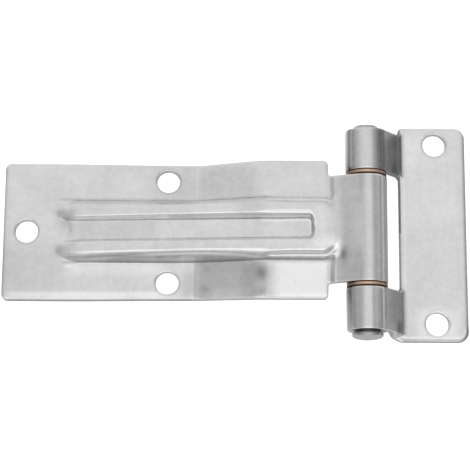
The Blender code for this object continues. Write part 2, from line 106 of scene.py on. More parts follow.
class StrapSizes(bpy.types.PropertyGroup):
    """Strap leaf, measured from the pin axis and its middle line."""
    reach: length("Reach", 0.1795, "Pin axis to the free end")
    width: length("Width", 0.0692, "Across the strap")
    corner: length("Corner", 0.0030, "Radius of the corners at the free end")
    end_hole_inset: length("End hole inset", 0.0114, "Free end to the single hole")
    pair_reach: length("Pair reach", 0.0980, "Pin axis to the pair of holes")
    pair_inset: length("Pair inset", 0.0086, "Long edge to the pair of holes")
    wing_step: length("Wing step", 0.0191, "Pin axis to the end of the wings")
    wing_corner: length("Wing corner", 0.0022, "Radius of the wings' corners")
    neck_width: length("Neck width", 0.0533, "Across the neck and the central eye")
    neck_corner: length("Neck corner", 0.0018, "Radius between wing and neck")
    neck_bend: length("Neck bend", 0.0174, "Pin axis to the step at the neck")
    neck_step: length("Neck step", 0.0030, "Length of the step at the neck")
    neck_slope: angle("Neck slope", 21.5, "Slope of the neck, which touches the eye")
    waist_draw: length("Waist draw", 0.0006, "How far the bead draws the edges in")
    ramp_start: length("Ramp start", 0.0844, "Pin axis to the foot of the joggle")
    ramp_end: length("Ramp end", 0.0515, "Pin axis to the top of the joggle")
    plateau: length("Plateau", 0.0136, "Height of the plateau's top")
    ramp_bend: length("Ramp bend", 0.0034, "Half length of the joggle's lower bend")
    plateau_bend: length("Plateau bend", 0.0050, "Half length of the joggle's upper bend")
    bead_inset: length("Bead inset", 0.0261, "Free end to the bead's nose")
    bead_level: length("Bead level", 0.0450, "Pin axis to where the bead runs level")
    bead_nose_rise: length("Nose rise", 0.0027, "Height of the bead at its nose")
    bead_top: length("Bead top", 0.0186, "Height of the bead where it runs level")
    crown_reach: length("Crown reach", 0.0118, "Pin axis to where the bead meets the eye")
    crown_rest: length("Crown rest", 0.0010, "Pin axis to the top of that rise")
    bead_offset: length("Bead offset", 0.00035, "How far the bead is off the middle line")
    bead_width: length("Bead width", 0.0244, "Across the bead's crest")
    bead_wall: length("Bead wall", 0.0035, "Run of the bead's outer walls")
    bead_spread: length("Bead spread", 0.0005, "Extra half width on the head's side")
    neck_wall: length("Neck wall", 0.0090, "Run of the bead's walls on the neck")
    bead_shoulder: length("Bead shoulder", 0.0022, "Half the rounding at the crest")
    bead_foot: length("Bead foot", 0.0004, "Half the rounding at the foot")
    nose_foot: length("Nose foot", 0.0255, "Free end to the foot of the ribs' noses")
    bead_nose: length("Bead nose", 0.0075, "Length of the ribs' rounded noses")
    wall_lead: length("Wall lead", 0.0030, "Wings' end to where the walls widen")
    wall_strip: length("Wall strip", 0.0090, "Length over which the walls widen")
    crest_softer: length("Crest softening", 0.0010, "Extra rounding on the plateau")
    neck_crest: length("Neck crest", 0.0022, "Extra rounding of the crest at the neck")
    neck_foot: length("Neck foot", 0.0040, "Extra rounding of the foot at the neck")
    groove_runout: length("Groove run-out", 0.0012, "Softness where the groove ends")
    nose_corner: length("Nose corner", 0.0030, "Rounding between a rib's nose and sides")
    wall_ledge: factor("Wall ledge", 0.92, "How far the walls of the plateau are stepped")
    groove_width: length("Groove width", 0.0094, "Across the groove's floor")
    groove_wall: length("Groove wall", 0.0015, "Run of the groove's walls")
    groove_end: length("Groove end", 0.0271, "Pin axis to the groove's end")
    groove_corner: length("Groove corner", 0.0030, "Radius of the groove's end")
    groove_shoulder: length("Groove shoulder", 0.0011, "Half its top rounding")
    groove_foot: length("Groove foot", 0.0003, "Half its bottom rounding")
    groove_end_wall: factor("Groove end wall", 2.0, "How much steeper the end's wall is")
    groove_end_depth: length("Groove depth", 0.0055, "Groove's end below the eye's top")
    soft_foot: length("Soft foot", 0.0070, "Strip that is drawn up beside the bead")
    soft_foot_rise: length("Soft foot rise", 0.00030, "Height of that strip at the bead")
    soft_edge: length("Soft edge", 0.0042, "Strip that bends down along the edges")
    soft_edge_drop: length("Soft edge drop", 0.00040, "Fall of that strip at the edge")
    wing_tilt: angle("Wing tilt", 2.5, "Tilt of the plateau's wing on the head's side")


class FrameSizes(bpy.types.PropertyGroup):
    """Frame leaf, measured from the pin axis and its middle line."""
    reach: length("Reach", 0.0500, "Pin axis to the far edge")
    length: length("Length", 0.1082, "Along the pin")
    edge: length("Near edge", 0.0167, "Pin axis to the edge of the window")
    corner: length("Corner", 0.0050, "Radius of the outer corners")
    hole_inset: length("Hole inset", 0.00875, "End of the leaf to its holes")
    tab_foot: length("Tab foot", 0.0177, "Pin axis to the foot of the tabs")
    tab_fillet: length("Tab fillet", 0.0056, "Radius of the bend at the foot")
    tab_shoulder: length("Tab shoulder", 0.00405, "End of the leaf to the tab")
    tab_root: length("Tab root", 0.0018, "Radius where tab and window meet")
    shoulder_radius: length("Shoulder radius", 0.0020, "Corner beside the tab")
    flare: length("Flare", 0.0078, "Run of the slanted root on the head's side")
    flare_radius: length("Flare radius", 0.0035, "Rounding of that root")
    far_lead: length("Far lead", 0.0060, "Strip over which the far edge's roll sets in")
    far_roll: length("Far roll", 0.0024, "Width of the roll along the far edge")
    far_drop: length("Far drop", 0.00065, "Depth of the roll along the far edge")
    tab_fade: length("Tab fade", 0.0026, "Strip that is drawn up beside a tab")


class PinSizes(bpy.types.PropertyGroup):
    """Headed hinge pin."""
    diameter: length("Diameter", 0.0120, "Diameter of the shank")
    clearance: length("Clearance", 0.00025, "Radial play in the eyes")
    head_diameter: length("Head", 0.0151, "Diameter of the head")
    head_gap: length("Head gap", 0.0009, "Gap between head and lower eye")
    head_edge: length("Head edge", 0.0015, "Thickness of the head's rim")
    head_dome: length("Head dome", 0.0018, "Rise of the head's dome")
    head_corner: length("Head corner", 0.0004, "Rounding of the head's upper corner")
    tail_edge: length("Tail edge", 0.0021, "How far the shank stands out above")
    tail_dome: length("Tail dome", 0.0008, "Rise of the upper dome")


class WasherSizes(bpy.types.PropertyGroup):
    """Thrust washers between the eyes."""
    diameter: length("Diameter", 0.0200, "Outer diameter")
    thickness: length("Thickness", 0.0020, "Along the pin")
    clearance: length("Clearance", 0.0003, "Gap on each face")
    rounding: length("Rounding", 0.0003, "Broken edges")


class FinishSettings(bpy.types.PropertyGroup):
    """Colours and finishes."""
    steel: colour("Steel", (0.80, 0.80, 0.80), "Bright plated sheet")
    pin_steel: colour("Pin steel", (0.52, 0.52, 0.525), "Turned steel of the pin")
    bronze: colour("Bronze", (0.74, 0.50, 0.34), "Bronze of the washers")
    floor: colour("Floor", (0.86, 0.86, 0.86), "Studio floor")


class StageSettings(bpy.types.PropertyGroup):
    """Camera and light."""
    lens: FloatProperty(name="Lens", default=120.65, description="Focal length in mm")
    distance: length("Distance", 0.784, "Camera to the point it looks at")
    azimuth: angle("Azimuth", -0.77, "Turn of the view round Z")
    elevation: angle("Elevation", 77.59, "Height of the view above the horizon")
    roll: angle("Roll", -0.39, "Tilt of the picture")
    target: FloatVectorProperty(name="Target", default=(-0.09942, -0.00045, 0.0), size=3,
                                subtype="XYZ", unit="LENGTH",
                                description="Point at the middle of the picture")
    behind: tent_side("Behind", (0.80,) * 10 + (0.82,))
    front: tent_side("Front", (
        0.45, 0.46, 0.48, 0.52, 0.62, 0.70, 0.78, 0.92, 1.10, 1.12, 0.82))
    right: tent_side("Right", (
        0.12, 0.16, 0.24, 0.32, 0.37, 0.39, 0.41, 0.45, 0.53, 0.70, 0.82))
    left: tent_side("Left", (
        0.15, 0.22, 0.29, 0.35, 0.39, 0.43, 0.47, 0.52, 0.58, 0.70, 0.82))
    key_power: FloatProperty(name="Key light", default=0.3, unit="POWER",
                             description="Power of the lamp in front of the hinge")


def sizes():
    return bpy.context.scene.hinge


class HingeSettings(bpy.types.PropertyGroup):
    """Everything that can be changed."""
    sheet: PointerProperty(type=SheetSizes)
    strap: PointerProperty(type=StrapSizes)
    leaf: PointerProperty(type=FrameSizes)
    pin: PointerProperty(type=PinSizes)
    washer: PointerProperty(type=WasherSizes)
    finish: PointerProperty(type=FinishSettings)
    stage: PointerProperty(type=StageSettings)


# ---------------------------------------------------------------- painted light and shade
# Patches of painted light and shade. Each row is from x, to x, from y, to y, blur along x,
# blur along y, all in millimetres from the pin axis and the middle line, and the change of a
# tone that is 1 where plain.

STRAP_PAINTED_PATCHES = (
    (-91, -83.6, 17, 36, 4, 1, -0.06),  # bend lines of the joggle
    (-83.6, -83, 17, 36, 0.5, 1, 0.03),
    (-84.4, -83.8, -36, -16, 0.8, 1, -0.08),
    (-83.6, -83.1, -36, -18, 0.5, 1, 0.06),
    (-76, -56, -35, -29, 4, 1.6, 0.14),
    (-44.5, -19, -33.5, -17, 6, 1, 0.27),  # plateau on the head's side
    (-90.5, -84.5, -34, -20, 4, 6, -0.14),  # beside the lower hole
    (-180, -152, -33, -8, 14, 12, -0.11),  # free end
    (-106, -86, 17, 36, 8, 6, -0.07),  # beside the upper hole
    (-148, -100, -22, -16, 12, 4, 0.12),  # below the bead
    (-176, -100, -33.2, -30.4, 12, 1.6, 0.24),  # along the long edge
    (-100, -60, -32.8, -31.5, 14, 1.6, 0.05),
    (-19.5, -19.1, -26, -17.5, 0.5, 1, -0.20),
    (-20, 0, -40, 40, 4, 2, -0.10),  # neck and eye
    (-13.5, -1.2, -40, 40, 3, 2, -0.14),
    (-15.5, -4, 15.5, 28, 2, 3.5, 0.19),
    (-17.3, -15.6, 15.5, 28, 0.5, 1, 0.30),
    (-17.5, -15.2, -28, -15.5, 0.5, 1, 0.40),
    (-140, -104, -5, 5, 8, 2, -0.07),  # groove and ribs
    (-66, -50, 7, 14, 5, 2, -0.06),
    (-150, -110, -13.8, -11.4, 8, 0.6, -0.20),
    (-26, -17, -8, 10, 4, 5, 0.08),
    (-15.5, -4, -28, -15.5, 2, 3.5, 0.14),
    (-61, -52.5, -34, -17, 4, 1, -0.14),
)

# Round spots of painted light and shade: x, y, half width along x and along y in millimetres,
# change of tone.
STRAP_PAINTED_SPOTS = (
    (-51.8, -21.8, 3, 3.6, -0.52),  # top of the joggle, head's side
    (-51.6, -31.2, 2.4, 1.8, -0.28),
    (-50.4, -25, 2.4, 7, -0.24),
    (-78.4, -19, 1.8, 1.6, -0.14),
    (-79.6, -29.4, 2.2, 1.8, -0.22),
    (-12, -13, 1.8, 3.4, -0.55),  # neck
    (-22, -8.8, 7, 2.6, 0.25),
    (-16.5, -7, 3.4, 3, 0.20),
    (-7, -21, 2.2, 3, -0.10),
    (-149, 4.6, 3.4, 3.4, -0.22),  # noses of the ribs
    (-143, 12.5, 5, 3, -0.06),
    (-148, -9.5, 3.2, 4, 0.12),
    (-148, 9.5, 3.2, 3, 0.10),
    (-146.5, -17.6, 2, 0.7, 0.25),
)

# Patches of painted light and shade on the frame leaf, in the strap's columns.
FRAME_PAINTED_PATCHES = (
    (16, 17.4, -50, 50, 0.8, 4, -0.30),  # edge beside the window
    (24, 46, -56, -38, 5, 5, 0.10),  # head's end of the plate
    (18, 32, 34, 50, 6, 6, 0.05),
    (18.8, 19.8, -32, 28, 1, 4, 0.10),  # bend line of the plate
    (20, 46, 0, 56, 4, 20, 0.05),
)

# Round spots of painted light and shade on the upper tab, in the strap's columns.
FRAME_PAINTED_SPOTS = (
    (11.2, 44.5, 2.4, 3.6, -0.30),  # upper tab
    (11.2, 34.5, 2.2, 3, -0.34),
    (15, 40.5, 1.6, 5, 0.22),
    (17, 28.6, 2.6, 2.6, 0.80),
)

# Patches of painted shade on the tabs, in the same columns.
TAB_PAINTED_SHADE = (
    (11, 15.5, -50, -44.5, 3, 3, -0.40),
    (8, 13, 29.5, 33, 3, 3, -0.30),
)

# Bands of painted light and shade round the rolled eyes: from and to in degrees from the top
# towards the frame leaf, blur, and the change of tone.
CENTRAL_EYE = ((11, 20, 4, -0.14), (28, 42, 6, 0.30), (44, 56, 6, -0.24))
UPPER_EYE = ((-68, -49, 6, -0.62), (-48, -36, 10, -0.08), (-14, 10, 6, -0.05),
             (14, 26, 8, -0.22), (26, 120, 8, -0.42), (41, 64, 8, -0.58))
LOWER_EYE = ((-76, -50, 9, -0.40), (-30, -12, 9, -0.20), (-10, 8, 4, -0.05),
             (9, 18, 3, -0.30), (33, 44, 8, 0.10), (46, 70, 6, -0.38))
EYE_END = 58  # degrees from the top past which a tab is no longer round
UPPER_TAB, LOWER_TAB = 0.46, 0.88  # painted shade of the straight stretches beside the eyes
BRIGHTEST = 1.25  # highest tone of the strap
CUT_DULLING_AND_SHADE = 0.34  # how much darker sheared faces are than the rolled skin: duller, with painted shade along the outlines
CUT_SPAN = (0.0006, 0.001, 0.0003)  # where that begins, how far it overshoots, blur
HOLE_DARK_RING = (0.18, 0.0006, 0.0004)  # darkening, distance from a hole and half width
GRAIN_TURN = (-0.018, 0.008)  # where the strap's grain turns, and over what length

# Painted shade on the round pieces: change of tone, where it begins and how soft it is.
WASHER_TURN = (-0.40, 42, 20)  # degrees from the top
WASHER_OUTER, WASHER_INNER = (-0.65, 0.34, 0.10), (-0.92, 0.26, 0.10)  # shares of a washer
PIN_GAP = (-0.75, 0.0004, 0.0002)  # painted shadow on the pin in the gap above its head

# How the edge of a cut is rounded: share of the rounding that is left, and the fall.
EDGE_PROFILE = ((0.45, 0.28), (0.12, 0.72), (0.0, 1.25))
CUT_STEPS = (0.45, 0.70, 0.95)  # loops down the cut, as shares of the sheet
CUT_CORNER = 0.0004  # radius of the corners at the rolled ends
WASHER_STEPS = (0.0, 0.1, 0.2, 0.26, 0.32, 0.38, 0.44)  # rings, as shares of a washer


# ---------------------------------------------------------------- blanks

def steps_between(first, last, pitch):
    """Evenly spaced values from first to last, about pitch apart."""
    count = max(1, math.ceil(abs(last - first) / pitch - 1e-6))
    return list(np.linspace(first, last, count + 1))


def chain(start, *stops):
    """Stretches that follow each other, from (end, pitch) stops."""
    starts = [start] + [end for end, _ in stops]
    return [(first, last, pitch) for first, (last, pitch) in zip(starts, stops)]


def grid_lines(stretches, least=0.00012):
    """Sorted places from (first, last, pitch) stretches; close ones are dropped."""
    places = sorted(place for first, last, pitch in stretches
                    for place in steps_between(first, last, pitch))
    kept = [places[0]]
    for place in places[1:]:
        if place - kept[-1] > least:
            kept.append(place)
    return np.array(kept)


def rounded_outline(corners, along, across):
    """Points round a cornered outline, and at each the direction into it.

    The (x, y, radius) corners run anticlockwise. Edges along an axis are divided at
    the grid lines and slanted ones evenly.
    """
    count = len(corners)
    places = np.array([corner[:2] for corner in corners])
    runs = np.roll(places, -1, axis=0) - places
    ways = runs / np.hypot(runs[:, 0], runs[:, 1])[:, None]
    arcs = []
    for i, (_, _, radius) in enumerate(corners):
        into, out = ways[i - 1], ways[i]
        turn = math.atan2(into[0] * out[1] - into[1] * out[0], into @ out)
        side = math.copysign(1.0, turn)
        left = np.array([-into[1], into[0]])
        start = places[i] - into * radius * math.tan(abs(turn) / 2)
        centre = start + left * radius * side
        pitch = math.radians(9 if radius > 0.001 else 18)
        turns = np.linspace(0.0, turn, max(3, math.ceil(abs(turn) / pitch)) + 1)
        inward = np.column_stack([left[0] * np.cos(turns) - left[1] * np.sin(turns),
                                  left[0] * np.sin(turns) + left[1] * np.cos(turns)])
        arcs.append((centre - inward * radius * side, inward))
    points, directions = [], []
    for i, (arc, inward) in enumerate(arcs):
        points.extend(arc)
        directions.extend(inward)
        end, run = arc[-1], arcs[(i + 1) % count][0][0] - arc[-1]
        if np.abs(run).min() < 1e-7:
            axis = int(np.argmax(np.abs(run)))
            low, high = sorted((end[axis], end[axis] + run[axis]))
            shares = sorted((place - end[axis]) / run[axis] for place in (along, across)[axis]
                            if low + 1.5e-4 < place < high - 1.5e-4)
        else:
            shares = np.linspace(0.0, 1.0, math.ceil(np.hypot(*run) / 0.0005) + 1)[1:-1]
        for share in shares:
            points.append(end + share * run)
            directions.append(inward[-1])
    return np.array(points), np.array(directions)


def distance_inside(outline, x, y):
    """Distance from points to a closed outline, negative outside it."""
    run = np.roll(outline, -1, axis=0) - outline
    square = (run ** 2).sum(axis=1)
    slope = run[:, 0] / np.where(run[:, 1] == 0, 1.0, run[:, 1])
    result = np.empty(len(x))
    for i in range(0, len(x), 4000):
        over_x = x[i:i + 4000, None] - outline[:, 0]
        over_y = y[i:i + 4000, None] - outline[:, 1]
        share = np.clip((over_x * run[:, 0] + over_y * run[:, 1]) / square, 0.0, 1.0)
        gap = np.hypot(over_x - share * run[:, 0], over_y - share * run[:, 1]).min(axis=1)
        passes = (over_y < 0) != (over_y - run[:, 1] < 0)
        crossings = (passes & (over_x < over_y * slope)).sum(axis=1)
        result[i:i + 4000] = np.where(crossings % 2 == 1, gap, -gap)
    return result


def hole_ring(x, y, radius, sides=64):
    """Points round a hole."""
    turns = np.linspace(0.0, 2 * math.pi, sides, endpoint=False)
    return np.column_stack([x + radius * np.cos(turns), y + radius * np.sin(turns)])


def roll_drop(inside, width, drop):
    """Fall of a rolled edge at a distance into the sheet."""
    return drop * np.clip(1 - np.maximum(inside, 0.0) / width, 0.0, 1.0) ** 2


class Blank:
    """Flat blank of a leaf: points with a depth below the top face, and faces."""

    def __init__(self, corners, holes, along, across):
        self.sheet = sizes().sheet
        self.holes = holes
        self.along, self.across = along, across
        self.outline, self.inward = rounded_outline(corners, along, across)
        self.points, self.depths, self.faces = [], [], []
        self.build()

    def inside(self, x, y):
        return distance_inside(self.outline, x, y)

    def hole_distance(self, x, y):
        """Distance outside the nearest hole's edge."""
        gaps = [np.hypot(x - hole_x, y - hole_y) for hole_x, hole_y in self.holes]
        return np.min(gaps, axis=0) - self.sheet.bolt_hole / 2

    def drop(self, x, y):
        """How far sheared edges and hole rims are rolled down."""
        sheet = self.sheet
        edge = roll_drop(self.inside(x, y), sheet.edge_roll, sheet.edge_drop)
        return edge + roll_drop(self.hole_distance(x, y), sheet.hole_roll, sheet.hole_drop)

    def add(self, points, depths):
        start = len(self.points)
        self.points.extend(np.asarray(points).tolist())
        self.depths.extend(np.broadcast_to(depths, len(points)).tolist())
        return list(range(start, start + len(points)))

    def face(self, corners, reverse):
        self.faces.append(corners[::-1] if reverse else corners)

    def bridge(self, upper, lower, reverse):
        for i in range(len(upper)):
            j = (i + 1) % len(upper)
            self.face((upper[j], upper[i], lower[i], lower[j]), reverse)

    def loops(self, inset):
        """Outline and holes, moved into the sheet by an inset."""
        radius = self.sheet.bolt_hole / 2 + inset
        return [self.outline + inset * self.inward] + [
            hole_ring(hole_x, hole_y, radius) for hole_x, hole_y in self.holes]

    def skin(self, inset, depth, reverse):
        """One face of the blank, triangulated between its loops through the grid."""
        sheet = self.sheet
        x, y = (a.ravel() for a in np.meshgrid(self.along, self.across))
        keep = self.inside(x, y) > sheet.edge_round + 0.00012
        keep &= self.hole_distance(x, y) > sheet.hole_roll + 0.0002
        rings = [hole_ring(hole_x, hole_y, sheet.bolt_hole / 2 + out)
                 for hole_x, hole_y in self.holes
                 for out in np.linspace(0.0005, sheet.hole_roll, 3)]
        loops = self.loops(inset)
        points = np.vstack(loops + [np.column_stack([x[keep], y[keep]])] + rings)
        edges, spans, start = [], [], 0
        for loop in loops:
            spans.append(range(start, start + len(loop)))
            edges += list(zip(spans[-1], [*spans[-1][1:], start]))
            start += len(loop)
        placed, _, triangles, sources, _, _ = delaunay_2d_cdt(
            [Vector(point) for point in (points * 1000.0).tolist()], edges, [], 1, 1e-5)
        placed = np.array([tuple(point) for point in placed]) / 1000.0
        if depth is None:
            depth = self.drop(placed[:, 0], placed[:, 1])
        ids = self.add(placed, depth)
        triangles = np.array(triangles)
        middles = placed[triangles].mean(axis=1)
        for triangle in triangles[self.hole_distance(middles[:, 0], middles[:, 1]) > inset]:
            self.face([ids[i] for i in triangle], reverse)
        found = {source: ids[i] for i, own in enumerate(sources) for source in own}
        return [[found[i] for i in span] for span in spans]

    def build(self):
        """Both skins, joined by a rounded edge and a straight cut."""
        sheet = self.sheet
        rounding = sheet.edge_round
        top = self.skin(rounding, None, False)
        bottom = self.skin(sheet.burr, sheet.thickness, True)
        for k, loop in enumerate(self.loops(rounding)):
            start = self.drop(loop[:, 0], loop[:, 1])
            if k > 0:
                start = start.mean()
            steps = [(rounding * left, start + fall * rounding) for left, fall in EDGE_PROFILE]
            steps += [(0.0, share * sheet.thickness) for share in CUT_STEPS]
            ring = top[k]
            for inset, depth in steps:
                lower = self.add(self.loops(inset)[k], depth)
                self.bridge(ring, lower, k > 0)
                ring = lower
            self.bridge(ring, bottom[k], k > 0)

    def arrays(self):
        points = np.array(self.points)
        return points[:, 0], points[:, 1], np.array(self.depths)


def soft_step(value, edge, blur):
    """0 below an edge and 1 above it, eased over the blur."""
    return smooth((value - edge) / blur + 0.5)


def soft_span(value, low, high, blur):
    """1 between two values and 0 beyond them, eased over the blur."""
    return soft_step(value, low, blur) * soft_step(-value, -high, blur)


def marked(x, y, marks):
    """Tone of a surface under soft patches of painted light and shade, whose sizes are
    millimetres.
    """
    tone = np.ones(len(x))
    for from_x, to_x, from_y, to_y, blur_x, blur_y, change in marks:
        tone *= 1 + change * (soft_span(x * 1000, from_x, to_x, blur_x)
                              * soft_span(y * 1000, from_y, to_y, blur_y))
    return tone


def spotted(x, y, blots):
    """Tone of a surface under round spots of painted light and shade, whose sizes are millimetres.
    """
    tone = np.ones(len(x))
    for at_x, at_y, wide, high, change in blots:
        far = ((x * 1000 - at_x) / wide) ** 2 + ((y * 1000 - at_y) / high) ** 2
        tone *= 1 + change * np.exp(-far)
    return tone


def cut_tone(depth):
    """Sheared faces are darker: duller than the rolled skin, with painted shade along the
    outlines.
    """
    start, past, blur = CUT_SPAN
    return 1 - CUT_DULLING_AND_SHADE * soft_span(depth, start, sizes().sheet.thickness + past, blur)


def hole_tone(blank, x, y):
    """Thin dark ring round a hole."""
    dulling, away, width = HOLE_DARK_RING
    return 1 - dulling * crease(blank.hole_distance(x, y) - away, width)


def write_tone(piece, tone, grain=None):
    """Stores the tone, which carries the painted light and shade, and the share of grain along the
    pin, for the metal to read.
    """
    for name, values in (("tone", tone), ("grain", grain)):
        if values is not None:
            attribute = piece.data.attributes.new(name, "FLOAT", "POINT")
            attribute.data.foreach_set("value", np.asarray(values, dtype=np.float32))


def placed_object(name, data):
    piece = bpy.data.objects.new(name, data)
    bpy.context.scene.collection.objects.link(piece)
    return piece


def mesh_piece(name, points, faces):
    mesh = bpy.data.meshes.new(name)
    mesh.from_pydata(points.tolist(), [], faces)
    mesh.validate()
    mesh.update()
    return placed_object(name, mesh)


# ---------------------------------------------------------------- rolling along a bend line

def arc_path(x, z, heading, bends, pitch=math.radians(2)):
    """Points along a path of (length, turn) stretches, starting at x, z."""
    points = [(x, z)]
    for run, turn in bends:
        count = max(1, math.ceil(abs(turn) / pitch))
        for _ in range(count):
            bend = turn / count
            chord = run / count
            if abs(bend) > 1e-9:
                chord *= math.sin(bend / 2) / (bend / 2)
            x += chord * math.cos(heading + bend / 2)
            z += chord * math.sin(heading + bend / 2)
            heading += bend
            points.append((x, z))
    return points


def bend_line(name, points):
    """Curve object that the middle of the sheet follows."""
    curve = bpy.data.curves.new(name, "CURVE")
    curve.dimensions = "3D"
    spline = curve.splines.new("POLY")
    spline.points.add(len(points) - 1)
    for point, (x, z) in zip(spline.points, points):
        point.co = (x, 0.0, z, 1.0)
    line = placed_object(name, curve)
    line.hide_render = True
    return line


class Tree:
    """Keeps the making of node trees readable."""

    def __init__(self, tree):
        self.tree = tree
        self.given = None

    def feed(self, value, socket):
        if isinstance(value, bpy.types.NodeSocket):
            self.tree.links.new(value, socket)
        else:
            socket.default_value = value

    def node(self, kind, inputs=None, **settings):
        """New node whose inputs are fed with values or with other nodes' sockets."""
        node = self.tree.nodes.new(kind)
        for key, value in settings.items():
            setattr(node, key, value)
        for socket, value in (inputs or {}).items():
            self.feed(value, node.inputs[socket])
        return node

    def math(self, operation, *inputs, clamp=False):
        fed = dict(enumerate(inputs))
        return self.node("ShaderNodeMath", fed, operation=operation, use_clamp=clamp).outputs[0]

    def total(self, start, *pairs):
        """Start plus the product of each pair."""
        for value, weight in pairs:
            start = self.math("MULTIPLY_ADD", value, weight, start)
        return start

    def split(self, vector):
        return self.node("ShaderNodeSeparateXYZ", {0: vector}).outputs

    def joined(self, *places):
        return self.node("ShaderNodeCombineXYZ", dict(enumerate(places))).outputs[0]

    def eased(self, value, low, high):
        """0 at the low value and 1 at the high one."""
        fed = {"Value": value, "From Min": low, "From Max": high}
        return self.node("ShaderNodeMapRange", fed, interpolation_type="SMOOTHSTEP").outputs[0]

    def finish(self, geometry):
        """Realize Instances and Set Material, which end every geometry tree."""
        real = self.node("GeometryNodeRealizeInstances", {0: geometry})
        dressed = self.node("GeometryNodeSetMaterial", {
            "Geometry": real.outputs[0], "Material": self.given["Material"]})
        self.node("NodeGroupOutput", {0: dressed.outputs[0]})


def new_tree(name, kind, inputs, outputs):
    """Node group with (label, kind, default) inputs and (label, kind) outputs."""
    tree = bpy.data.node_groups.new(name, kind)
    for label, socket_kind, default in inputs:
        socket = tree.interface.new_socket(
            label, in_out="INPUT", socket_type="NodeSocket" + socket_kind)
        if default is not None:
            socket.default_value = default
    for label, socket_kind in outputs:
        tree.interface.new_socket(
            label, in_out="OUTPUT", socket_type="NodeSocket" + socket_kind)
    t = Tree(tree)
    t.given = t.node("NodeGroupInput").outputs
    return t


def rolled_sheet_tree():
    """Rolls the part of a blank that lies past Start along a bend line."""
    t = new_tree("Rolled sheet", "GeometryNodeTree", [
        ("Geometry", "Geometry", None), ("Bend Line", "Object", None),
        ("Start", "Float", 0.0), ("Direction", "Float", 1.0), ("Middle", "Float", 0.0),
        ("Inner", "Float", -1.0), ("Outer", "Float", 1.0), ("Fade", "Float", 0.001),
        ("Material", "Material", None)], [("Geometry", "Geometry")])
    given = t.given
    x, y, z = t.split(t.node("GeometryNodeInputPosition").outputs[0])
    travelled = t.math("MULTIPLY", t.math("SUBTRACT", x, given["Start"]), given["Direction"])
    line = t.node("GeometryNodeObjectInfo", {"Object": given["Bend Line"]})
    sample = t.node("GeometryNodeSampleCurve", {
        "Curves": line.outputs["Geometry"], "Length": travelled},
        mode="LENGTH", use_all_curves=False)
    at_x, _, at_z = t.split(sample.outputs["Position"])
    run_x, _, run_z = t.split(sample.outputs["Tangent"])
    lift = t.math("MULTIPLY", t.math("SUBTRACT", z, given["Middle"]), given["Direction"])
    rolled = t.joined(t.math("SUBTRACT", at_x, t.math("MULTIPLY", run_z, lift)), y,
                      t.math("ADD", at_z, t.math("MULTIPLY", run_x, lift)))
    across = t.math("ABSOLUTE", y)
    off = t.math("MAXIMUM", t.math("SUBTRACT", given["Inner"], across),
                 t.math("SUBTRACT", across, given["Outer"]))
    near = t.math("SUBTRACT", 1.0, t.eased(off, 0.0, given["Fade"]))
    active = t.math("MULTIPLY", near, t.math("GREATER_THAN", travelled, 0.0))
    mixed = t.node("ShaderNodeMix", {
        "Factor": active, 4: t.joined(x, y, z), 5: rolled}, data_type="VECTOR")
    moved = t.node("GeometryNodeSetPosition", {
        "Geometry": given["Geometry"], "Position": mixed.outputs[1]})
    t.finish(moved.outputs[0])


def run_tree(piece, tree, values):
    """Adds the tree with its inputs set, then makes the result a plain mesh."""
    modifier = piece.modifiers.new(tree.name, "NODES")
    modifier.node_group = tree
    for item in tree.interface.items_tree:
        if item.in_out == "INPUT" and item.name in values:
            modifier[item.identifier] = values[item.name]
    bpy.context.view_layer.update()
    depsgraph = bpy.context.evaluated_depsgraph_get()
    mesh = bpy.data.meshes.new_from_object(piece.evaluated_get(depsgraph))
    mesh.name = piece.name
    piece.modifiers.remove(modifier)
    old = piece.data
    piece.data = mesh
    bpy.data.meshes.remove(old)


def shade(piece, degrees=42):
    """Smooth, with an edge kept where faces meet at more than the angle."""
    piece.data.shade_smooth()
    piece.data.set_sharp_from_angle(angle=math.radians(degrees))


def roll_leaf(piece, material, path, values):
    """Rolls a pressed blank along a path and brings it to its place."""
    line = bend_line("bend_line", path)
    run_tree(piece, bpy.data.node_groups["Rolled sheet"], dict(
        values, **{"Bend Line": line, "Material": bpy.data.materials[material]}))
    bpy.data.objects.remove(line, do_unlink=True)
    piece.data.transform(Matrix.Translation((PIN_X, 0.0, 0.0)))
    shade(piece)
    return piece


def roll_turn():
    """Turn from an eye's tangent line round to where the rolled end stops."""
    inner = sizes().pin.diameter / 2 + sizes().pin.clearance
    return 2 * math.pi - math.acos((inner - sizes().sheet.roll_gap) / AXIS_Z)


def tangent_rise(run, drop):
    """Slope of the line from a point beside the eye that touches its outside."""
    return math.asin(AXIS_Z / math.hypot(run, drop)) + math.atan2(drop, run)


# ---------------------------------------------------------------- strap leaf

def smooth(share):
    """Eased share between 0 and 1."""
    share = np.clip(share, 0.0, 1.0)
    return share * share * (3 - 2 * share)


def passed(x, place, strip):
    """0 before a place and 1 from a strip further on."""
    return smooth((x - place) / strip)


def rounded_rise(distance, ease):
    """Distance past a bend, or 0 before it, rounded over the ease on both sides."""
    curved = (np.clip(distance, -ease, ease) + ease) ** 2 / (4 * ease)
    return np.where(distance < ease, curved, distance)


def wall_share(distance, run, top_round, foot_round):
    """1 inside a wall's top edge, 0 beyond its foot, rounded at both."""
    share = 1 - distance / run
    at_top = 1 - (distance + top_round) ** 2 / (4 * top_round * run)
    at_foot = (run + foot_round - distance) ** 2 / (4 * foot_round * run)
    share = np.where(distance < top_round, at_top, share)
    share = np.where(distance <= -top_round, 1.0, share)
    share = np.where(distance > run - foot_round, at_foot, share)
    return np.where(distance >= run + foot_round, 0.0, share)


